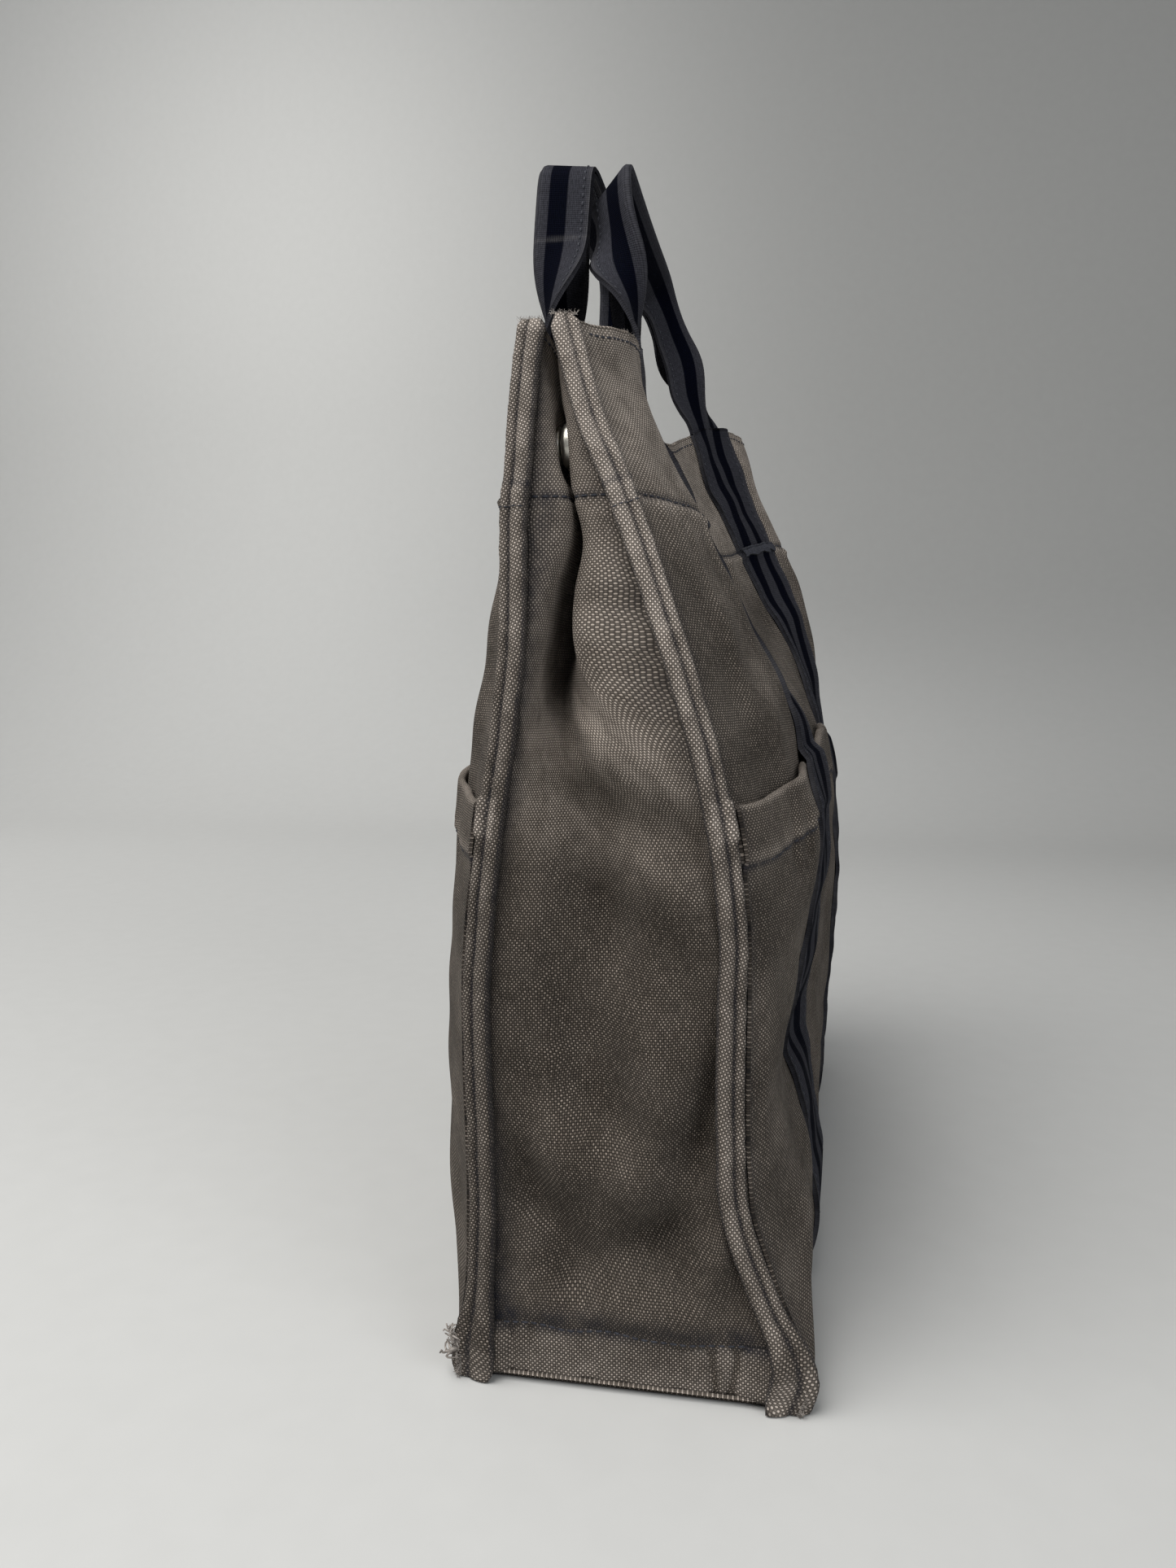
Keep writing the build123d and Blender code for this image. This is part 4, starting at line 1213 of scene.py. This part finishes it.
for n, side in enumerate(OUT):
    blocks = []
    x = np.linspace(-158, 158, 300)
    mouth_line = on_wall(side, x, HEIGHT - 0.2 + 0 * x, -0.6)
    roots, ways = pick(mouth_line, np.tile([0, 0, 1.0], (300, 1)), 520, 91 + n)
    lengths = np.random.default_rng(93 + n).uniform(0.5, 1.8, 520)
    blocks.append(fibre_block(roots, ways, lengths, 0.16, 95 + n))
    for m, end_name in enumerate(END):
        z = np.array([HEIGHT + (1.2 if side == "front" else -0.3)] * 30)
        centre, sideways, out = rib_frame(side, end_name, z)
        spread = np.linspace(-4, 4, 30)[:, None]
        upwards = np.tile([END[end_name] * 0.4, 0, 1.0], (30, 1))
        roots, ways = pick(centre + sideways * spread + out * 0.9, upwards, 90, 97 + m)
        blocks.append(fibre_block(roots, ways, np.random.default_rng(99).uniform(0.8, 2.4, 90), 0.2, 100 + m))
        z = np.linspace(0.6, 9, 30)
        centre, sideways, out = rib_frame(side, end_name, z)
        roots, ways = pick(centre + sideways * 3.5 + out * 1.2, sideways + out * 0.6, 120, 103 + m)
        roots[:, 2] = np.clip(roots[:, 2], 0.6, None)
        ways[:, 2] = np.abs(ways[:, 2]) * 0.3
        lengths = np.random.default_rng(105).uniform(1.0, 3.2, 120)
        blocks.append(fibre_block(roots, ways, lengths, 0.26, 106 + m, 0.4))
    fray = join_blocks(side + "_wall_fray", blocks)
    points = np.array([v.co for v in fray.data.vertices])
    points[:, 2] = np.maximum(points[:, 2], 0.0002)
    fray.data.vertices.foreach_set("co", points.astype(np.float32).ravel())
    settle(fray, side + "_wall", "canvas_seam")

draw = np.random.default_rng(110)
corner = rib_frame("back", "left", np.array([11.0, 9.0]))[0][0] + np.array([-1.0, 5.5, 0])
roots = corner + draw.normal(0, [0.6, 0.6, 2.2], (16, 3))
ways = np.array([-0.1, 1.0, 0.5]) + draw.normal(0, 0.3, (16, 3))
tuft = join_blocks("loose_tuft", [fibre_block(roots, ways, draw.uniform(5, 10, 16), 1.25, 111, 0.5, 8)])
settle(tuft, "back_wall", "canvas_seam")
print("fray:", [n for n in pieces if "fray" in n or "tuft" in n])

# %% [markdown]
# ## Finishes
# The canvas is a plain weave of thick yarn. Its bumps are too small to model, so a shared node
# group draws them from the cloth's own coordinates and puts out a height, the bright tips of
# the yarn, and the uneven tone of single yarns. A second group spreads rubbing, and with it
# painted light from above, over the tips, and a third draws the webbing's stripes. Each material
# places them with its own values.

# %% Node helpers
def add(tree, kind, values=(), **settings):
    """One shader node; values maps sockets to constants or to the sockets that feed them."""
    made = tree.nodes.new(kind)
    for key, value in settings.items():
        setattr(made, key, value)
    for key, value in dict(values).items():
        if isinstance(value, bpy.types.NodeSocket):
            tree.links.new(value, made.inputs[key])
        else:
            made.inputs[key].default_value = value
    return made


def maths(tree, operation, *values, clamp=False):
    """One sum or comparison of values and sockets."""
    return add(tree, "ShaderNodeMath", enumerate(values), operation=operation, use_clamp=clamp).outputs[0]


def blend_colours(tree, factor, first, second, kind="MIX"):
    """Mixes two colours by a factor, or multiplies them."""
    made = add(tree, "ShaderNodeMix", {0: factor, 6: first, 7: second}, data_type="RGBA", blend_type=kind)
    return made.outputs[2]


def grey_of(tree, value):
    """A grey colour from one value."""
    return add(tree, "ShaderNodeCombineColor", {0: value, 1: value, 2: value}).outputs[0]


def ramp(tree, value, low, high, out_low=0.0, out_high=1.0):
    """A smooth rise from out_low to out_high while the value goes from low to high."""
    values = {"Value": value, "From Min": low, "From Max": high, "To Min": out_low, "To Max": out_high}
    return add(tree, "ShaderNodeMapRange", values, interpolation_type="SMOOTHSTEP").outputs["Result"]


def noise(tree, vector, scale, detail=2.0, roughness=0.5):
    """Soft noise of a scale in spots per metre."""
    values = {"Vector": vector, "Scale": scale, "Detail": detail, "Roughness": roughness}
    return add(tree, "ShaderNodeTexNoise", values).outputs["Fac"]


def stretch(tree, vector, x, y, z=1.0):
    """A vector with each axis scaled."""
    return add(tree, "ShaderNodeVectorMath", {0: vector, 1: (x, y, z)}, operation="MULTIPLY").outputs[0]


def group(name, inputs, outputs):
    """An empty node group with named sockets."""
    made = bpy.data.node_groups.new(name, "ShaderNodeTree")
    for label, kind in inputs:
        made.interface.new_socket(label, in_out="INPUT", socket_type="NodeSocket" + kind)
    for label, kind in outputs:
        made.interface.new_socket(label, in_out="OUTPUT", socket_type="NodeSocket" + kind)
    return made, made.nodes.new("NodeGroupInput").outputs, made.nodes.new("NodeGroupOutput").inputs


# %% Plain weave
weave, given, out = group("Plain weave", [("Cloth", "Vector"), ("Yarns per metre", "Float")],
                          [("Height", "Float"), ("Tips", "Float"), ("Yarn tone", "Float")])
sway = add(weave, "ShaderNodeTexNoise", {"Vector": given["Cloth"], "Scale": 160.0, "Detail": 2.0})
swayed = stretch(weave, sway.outputs["Color"], 0.00055, 0.00055, 0.0)
moved = add(weave, "ShaderNodeVectorMath", {0: given["Cloth"], 1: swayed}, operation="ADD").outputs[0]
parts = add(weave, "ShaderNodeSeparateXYZ", {0: moved}).outputs
turns = maths(weave, "MULTIPLY", given["Yarns per metre"], math.pi)
warp = maths(weave, "SINE", maths(weave, "MULTIPLY", parts[0], turns))
weft = maths(weave, "SINE", maths(weave, "MULTIPLY", parts[1], turns))
crossing = maths(weave, "MULTIPLY", warp, weft)
raised = maths(weave, "POWER", maths(weave, "MAXIMUM", crossing, 0.0), 0.55)
sunken = maths(weave, "POWER", maths(weave, "MAXIMUM", maths(weave, "MULTIPLY", crossing, -1.0), 0.0), 0.55)
height = maths(weave, "MULTIPLY_ADD", sunken, 0.45, raised)
weave.links.new(height, out["Height"])
weave.links.new(ramp(weave, height, 0.40, 0.86), out["Tips"])
warp_tone = noise(weave, stretch(weave, given["Cloth"], 950.0, 230.0), 1.0)
weft_tone = noise(weave, stretch(weave, given["Cloth"], 230.0, 950.0), 1.0)
on_top = maths(weave, "GREATER_THAN", crossing, 0.0)
tone = maths(weave, "ADD", maths(weave, "MULTIPLY", warp_tone, on_top),
             maths(weave, "MULTIPLY", weft_tone, maths(weave, "SUBTRACT", 1.0, on_top)))
weave.links.new(tone, out["Yarn tone"])
print("group:", weave.name)

# %% Rubbing, which also carries painted light from above
rubbing, given, out = group("Rubbing and light", [("Cloth", "Vector"), ("Wear and light", "Float"), ("Tips", "Float"),
                                        ("Amount", "Float")], [("Mask", "Float")])
# The mask pales yarn tips where cloth is rubbed and, near the top, where painted light from above falls.
patchy = ramp(rubbing, noise(rubbing, given["Cloth"], 90.0, 4.0, 0.65), 0.3, 0.7, 0.45, 1.2)
worn_and_lit = maths(rubbing, "MULTIPLY", maths(rubbing, "MULTIPLY", given["Wear and light"], patchy), given["Amount"])
on_tips = maths(rubbing, "MULTIPLY", worn_and_lit, ramp(rubbing, given["Tips"], 0.0, 1.0, 0.16, 1.0))
rubbing.links.new(maths(rubbing, "MINIMUM", on_tips, 1.0), out["Mask"])
print("group:", rubbing.name)

# %% Striped webbing pattern
stripes, given, out = group("Webbing stripes", [("Across", "Float"), ("Ground", "Color"),
                                                ("Stripe", "Color")],
                            [("Color", "Color"), ("Stripe mask", "Float")])
reach = maths(stripes, "ABSOLUTE", given["Across"])
inner_edge, outer_edge = ramp(stripes, reach, 0.0037, 0.0043), ramp(stripes, reach, 0.0109, 0.0115, 1.0, 0.0)
inside = maths(stripes, "MULTIPLY", inner_edge, outer_edge)
stripes.links.new(blend_colours(stripes, inside, given["Ground"], given["Stripe"]), out["Color"])
stripes.links.new(inside, out["Stripe mask"])
print("group:", stripes.name)


# %% [markdown]
# ## Canvas, ribs, webbing, thread and metal
# The canvas is a washed taupe. Near black between the yarns is painted shade; the paler tips are
# partly a painted highlight and partly wear. It is paler still where it is rubbed and where painted
# light from above falls near the top, and blue-black in the seams, partly from the thread's dye and
# partly as painted shade in grooves and beside the ribs. Light at a low angle catches the fibres, so
# it has a little sheen. The metal is dull silver with fine scratches.

# %% Material makers
def material(name):
    """An empty material with its tree and its Principled shader."""
    made = bpy.data.materials.new(name)
    made.use_nodes = True
    made.node_tree.nodes.clear()
    tree = made.node_tree
    shader = add(tree, "ShaderNodeBsdfPrincipled")
    end = add(tree, "ShaderNodeOutputMaterial")
    tree.links.new(shader.outputs[0], end.inputs["Surface"])
    return made, tree, shader


def mark(tree, name, vector=False):
    """A value that the mesh carries at each point."""
    return add(tree, "ShaderNodeAttribute", attribute_name=name).outputs["Vector" if vector else "Fac"]


def placed(tree, node_group, values):
    """A node group placed in a material, with its own values."""
    made = tree.nodes.new("ShaderNodeGroup")
    made.node_tree = node_group
    for key, value in values.items():
        if isinstance(value, bpy.types.NodeSocket):
            tree.links.new(value, made.inputs[key])
        else:
            made.inputs[key].default_value = value
    return made.outputs


YARNS = 1250.0
# Near-black navy: the thread's dye in the seams, and also painted shade in grooves and beside the ribs.
DYE_AND_SHADE = (0.012, 0.013, 0.020, 1)


def cloth_material(name, valley, yarn, tip, rubbed_and_lit_colour, rub, bump):
    made, tree, shader = material(name)
    cloth, wear_and_light, dye_and_shade = mark(tree, "cloth", True), mark(tree, "wear_and_light"), mark(tree, "dye_and_shade")
    woven = placed(tree, weave, {"Cloth": cloth, "Yarns per metre": YARNS})
    # Painted shade: the low parts of the weave take the near-black valley colour. The tips take a pale colour,
    # partly a painted highlight and partly wear.
    colour = blend_colours(tree, ramp(tree, woven["Height"], 0.05, 0.62), valley, yarn)
    bright = maths(tree, "MULTIPLY", woven["Tips"], ramp(tree, woven["Yarn tone"], 0.3, 0.7))
    colour = blend_colours(tree, bright, colour, tip)
    washed = ramp(tree, noise(tree, cloth, 14.0, 4.0, 0.6), 0.32, 0.7, 0.92, 1.07)
    fine = ramp(tree, woven["Yarn tone"], 0.25, 0.75, 0.80, 1.20)
    # Paler overall where cloth is rubbed and where painted light from above falls near the top.
    faded_and_lit = maths(tree, "MULTIPLY_ADD", wear_and_light, 0.5, 0.88)
    shade = maths(tree, "MULTIPLY", maths(tree, "MULTIPLY", washed, fine), faded_and_lit)
    colour = blend_colours(tree, 1.0, colour, grey_of(tree, shade), "MULTIPLY")
    worn_and_lit = placed(tree, rubbing, {"Cloth": cloth, "Wear and light": wear_and_light, "Tips": woven["Tips"], "Amount": rub})
    colour = blend_colours(tree, worn_and_lit["Mask"], colour, rubbed_and_lit_colour)
    # The dark marks carry the thread's dye, and also painted shade in seam grooves and beside the ribs.
    blotch = ramp(tree, noise(tree, cloth, 220.0, 3.0), 0.3, 0.65, 0.55, 1.0)
    dye_and_shade_mask = maths(tree, "MULTIPLY", dye_and_shade, blotch, clamp=True)
    colour = blend_colours(tree, dye_and_shade_mask, colour, DYE_AND_SHADE)
    tree.links.new(colour, shader.inputs["Base Color"])
    rough = ramp(tree, noise(tree, cloth, 500.0), 0.2, 0.8, 0.86, 0.98)
    tree.links.new(rough, shader.inputs["Roughness"])
    fuzz = maths(tree, "MULTIPLY", noise(tree, cloth, 3200.0, 2.0), 0.25)
    relief_height = maths(tree, "ADD", woven["Height"], fuzz)
    bumped = add(tree, "ShaderNodeBump", {"Strength": bump, "Distance": 0.00042, "Height": relief_height})
    tree.links.new(bumped.outputs[0], shader.inputs["Normal"])
    shader.inputs["Specular IOR Level"].default_value = 0.12
    shader.inputs["Sheen Weight"].default_value = 0.04
    shader.inputs["Sheen Roughness"].default_value = 0.55
    shader.inputs["Sheen Tint"].default_value = (0.9, 0.86, 0.82, 1)
    return made


# %% Canvas and ribs
canvas_finish = cloth_material("washed canvas", (0.010, 0.0083, 0.0070, 1), (0.080, 0.0645, 0.0505, 1),
                               (0.265, 0.223, 0.187, 1), (0.52, 0.450, 0.390, 1), 1.25, 1.0)
rib_finish = cloth_material("rubbed canvas rib", (0.009, 0.0074, 0.0062, 1), (0.082, 0.0665, 0.0535, 1),
                            (0.31, 0.264, 0.224, 1), (0.65, 0.570, 0.505, 1), 1.25, 1.0)

# %% Webbing, thread and metal
webbing_finish, tree, shader = material("striped webbing")
cloth, across, wear_and_light = mark(tree, "cloth", True), mark(tree, "across"), mark(tree, "wear_and_light")
striped = placed(tree, stripes, {"Across": across, "Ground": (0.026, 0.0262, 0.032, 1),
                                 "Stripe": (0.0006, 0.0010, 0.0038, 1)})
split = add(tree, "ShaderNodeSeparateXYZ", {0: cloth}).outputs
weft_rib = maths(tree, "ABSOLUTE", maths(tree, "SINE", maths(tree, "MULTIPLY", split[1], math.pi * 1250)))
twill = maths(tree, "ABSOLUTE", maths(tree, "SINE", maths(tree, "MULTIPLY", split[0], math.pi * 1400)))
height = maths(tree, "ADD", maths(tree, "MULTIPLY", weft_rib, 0.6), maths(tree, "MULTIPLY", twill, 0.6))
grain = ramp(tree, noise(tree, stretch(tree, cloth, 1800.0, 500.0), 1.0, 3.0), 0.25, 0.75, 0.75, 1.25)
shade = maths(tree, "MULTIPLY", grain, ramp(tree, height, 0.1, 1.1, 0.7, 1.25))
colour = blend_colours(tree, 1.0, striped["Color"], grey_of(tree, shade), "MULTIPLY")
worn_and_lit = placed(tree, rubbing, {"Cloth": cloth, "Wear and light": wear_and_light, "Tips": twill, "Amount": 0.5})
colour = blend_colours(tree, worn_and_lit["Mask"], colour, (0.13, 0.125, 0.125, 1))
tree.links.new(colour, shader.inputs["Base Color"])
tree.links.new(ramp(tree, height, 0.0, 1.2, 0.95, 0.8), shader.inputs["Roughness"])
bumped = add(tree, "ShaderNodeBump", {"Strength": 0.6, "Distance": 0.0003, "Height": height})
tree.links.new(bumped.outputs[0], shader.inputs["Normal"])
shader.inputs["Specular IOR Level"].default_value = 0.03

thread_finish, tree, shader = material("navy thread")
place = add(tree, "ShaderNodeTexCoord").outputs["Object"]
twist = noise(tree, stretch(tree, place, 1500.0, 1500.0, 3500.0), 1.0, 2.0)
colour = blend_colours(tree, ramp(tree, twist, 0.3, 0.7), (0.006, 0.007, 0.012, 1), (0.030, 0.032, 0.044, 1))
tree.links.new(colour, shader.inputs["Base Color"])
tree.links.new(ramp(tree, twist, 0.3, 0.7, 0.9, 0.7), shader.inputs["Roughness"])
bumped = add(tree, "ShaderNodeBump", {"Strength": 0.5, "Distance": 0.0002, "Height": twist})
tree.links.new(bumped.outputs[0], shader.inputs["Normal"])

silver_finish, tree, shader = material("dull silver")
place = add(tree, "ShaderNodeTexCoord").outputs["Object"]
scratch = noise(tree, stretch(tree, place, 900.0, 300.0, 2600.0), 1.0, 4.0)
cloud = noise(tree, stretch(tree, place, 260.0, 260.0, 260.0), 1.0, 3.0)
colour = blend_colours(tree, ramp(tree, cloud, 0.35, 0.7), (0.50, 0.475, 0.42, 1), (0.74, 0.715, 0.66, 1))
tree.links.new(colour, shader.inputs["Base Color"])
tree.links.new(ramp(tree, scratch, 0.3, 0.7, 0.30, 0.46), shader.inputs["Roughness"])
bumped = add(tree, "ShaderNodeBump", {"Strength": 0.25, "Distance": 0.0001, "Height": scratch})
tree.links.new(bumped.outputs[0], shader.inputs["Normal"])
shader.inputs["Metallic"].default_value = 1.0

fray_finish, tree, shader = material("pale fibres")
place = add(tree, "ShaderNodeTexCoord").outputs["Object"]
tone = noise(tree, stretch(tree, place, 700.0, 700.0, 700.0), 1.0, 3.0)
colour = blend_colours(tree, ramp(tree, tone, 0.3, 0.7), (0.17, 0.15, 0.135, 1), (0.42, 0.38, 0.345, 1))
tree.links.new(colour, shader.inputs["Base Color"])
tree.links.new(ramp(tree, tone, 0.3, 0.7, 0.98, 0.88), shader.inputs["Roughness"])

# %% Give every piece its finish
finishes = {"canvas": canvas_finish, "canvas_seam": rib_finish, "striped_webbing": webbing_finish,
            "navy_thread": thread_finish}
for name, piece in pieces.items():
    is_fibre = "fray" in name or "tuft" in name
    piece.data.materials.append(fray_finish if is_fibre else finishes[piece["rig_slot"]])
for name, solid in nodes.items():
    if "_snap_" in name:
        solid.data.materials.clear()
        solid.data.materials.append(silver_finish)
        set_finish(solid, "silvered_metal")
        soft = solid.modifiers.new("rounded edges", "BEVEL")
        soft.width, soft.segments, soft.limit_method = 0.0002, 2, "ANGLE"
        solid.data.polygons.foreach_set("use_smooth", [True] * len(solid.data.polygons))
print("finishes:", len(bpy.data.materials))

# %% [markdown]
# ## The names of the wall cloths
# For each side the name of its wall's cloth is put in a list. The two halves of an end are one
# strip, split only in its crease.

for side in OUT:
    wall = [side + "_wall_cloth"]

# %% [markdown]
# ## Floor and light
# A pale seamless paper runs back from the bag and curves up. One large soft lamp stands high
# on the left, a small one brightens the far left of the paper, a weak one fills from the right,
# and the pale surroundings do the rest, so the bag's shadow stays soft. The paper itself
# carries painted shade, darker to the right, which saves lamps that would only light the paper.

# %% Floor and backdrop
BEND_AT, BEND_RADIUS = 1.15, 0.85
bend = np.linspace(0.05, 1, 24) * math.pi / 2
run = np.concatenate([np.linspace(-2.2, BEND_AT, 40), BEND_AT + BEND_RADIUS * np.sin(bend), [2.0, 2.0]])
rise = np.concatenate([np.zeros(40), BEND_RADIUS * (1 - np.cos(bend)), [1.6, 2.4]])
wide = np.linspace(-2.6, 2.6, 60)
paper_points = np.array([[(a, b, c) for b in wide] for a, c in zip(run, rise)]) / MM
paper = make("paper", paper_points, quads(len(run), len(wide)), {})
paper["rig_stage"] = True
paper_finish, tree, shader = material("pale paper")
place = add(tree, "ShaderNodeTexCoord").outputs["Object"]
tone = noise(tree, place, 60.0, 4.0)
grain = blend_colours(tree, tone, (0.54, 0.54, 0.528, 1), (0.57, 0.57, 0.558, 1))
where = add(tree, "ShaderNodeSeparateXYZ", {0: place}).outputs
# Painted shade on the paper: darker to the right, a little on the floor and more on the backdrop.
low_shade = ramp(tree, where[1], -0.7, 0.3, 0.84, 1.0)
high_shade = ramp(tree, where[1], -0.2, 1.2, 0.66, 1.0)
upright = ramp(tree, where[2], 0.0, 0.45)
on_floor = maths(tree, "MULTIPLY", low_shade, maths(tree, "SUBTRACT", 1.0, upright))
shade = maths(tree, "ADD", on_floor, maths(tree, "MULTIPLY", high_shade, upright))
shaded_paper_colour = blend_colours(tree, 1.0, grain, grey_of(tree, shade), "MULTIPLY")
tree.links.new(shaded_paper_colour, shader.inputs["Base Color"])
shader.inputs["Roughness"].default_value = 0.85
shader.inputs["Specular IOR Level"].default_value = 0.2
paper.data.materials.append(paper_finish)


# %% Lamps
def lamp(name, place, target, size, power, colour):
    """A round soft lamp at a place, turned to a target; size in metres, power in watts."""
    data = bpy.data.lights.new(name, "AREA")
    data.shape, data.size, data.energy, data.color = "DISK", size, power, colour
    made = bpy.data.objects.new(name, data)
    made.location = place
    made.rotation_mode = "QUATERNION"
    made.rotation_quaternion = (Vector(target) - Vector(place)).to_track_quat("-Z", "Y")
    scene.collection.objects.link(made)


lamp("high soft lamp", (-0.75, 0.55, 1.55), (-0.1, 0.0, 0.15), 1.5, 33.0, (1.0, 0.99, 0.97))
lamp("backdrop lamp", (0.7, 1.1, 1.5), (2.0, 1.5, 0.7), 0.8, 11.0, (1.0, 0.99, 0.97))
lamp("weak right lamp", (-1.3, -1.4, 0.9), (0.0, 0.0, 0.2), 1.4, 13.0, (0.95, 0.975, 1.0))
world = bpy.data.worlds.new("pale room")
world.use_nodes = True
surroundings = world.node_tree.nodes["Background"]
surroundings.inputs["Color"].default_value = (0.93, 0.95, 0.97, 1)
surroundings.inputs["Strength"].default_value = 0.31
scene.world = world

# %% [markdown]
# ## Size
# The cloth may stand a little proud of its solid, but the bag keeps its size. How far the shown
# pieces reach beyond the solids is printed.

# %% Print how far the pieces reach beyond the solids
shown_low, shown_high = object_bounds()
below, above = cad_low - shown_low, shown_high - cad_high
print("shown beyond the solids, mm:", [round(v / MM, 1) for v in below], [round(v / MM, 1) for v in above])
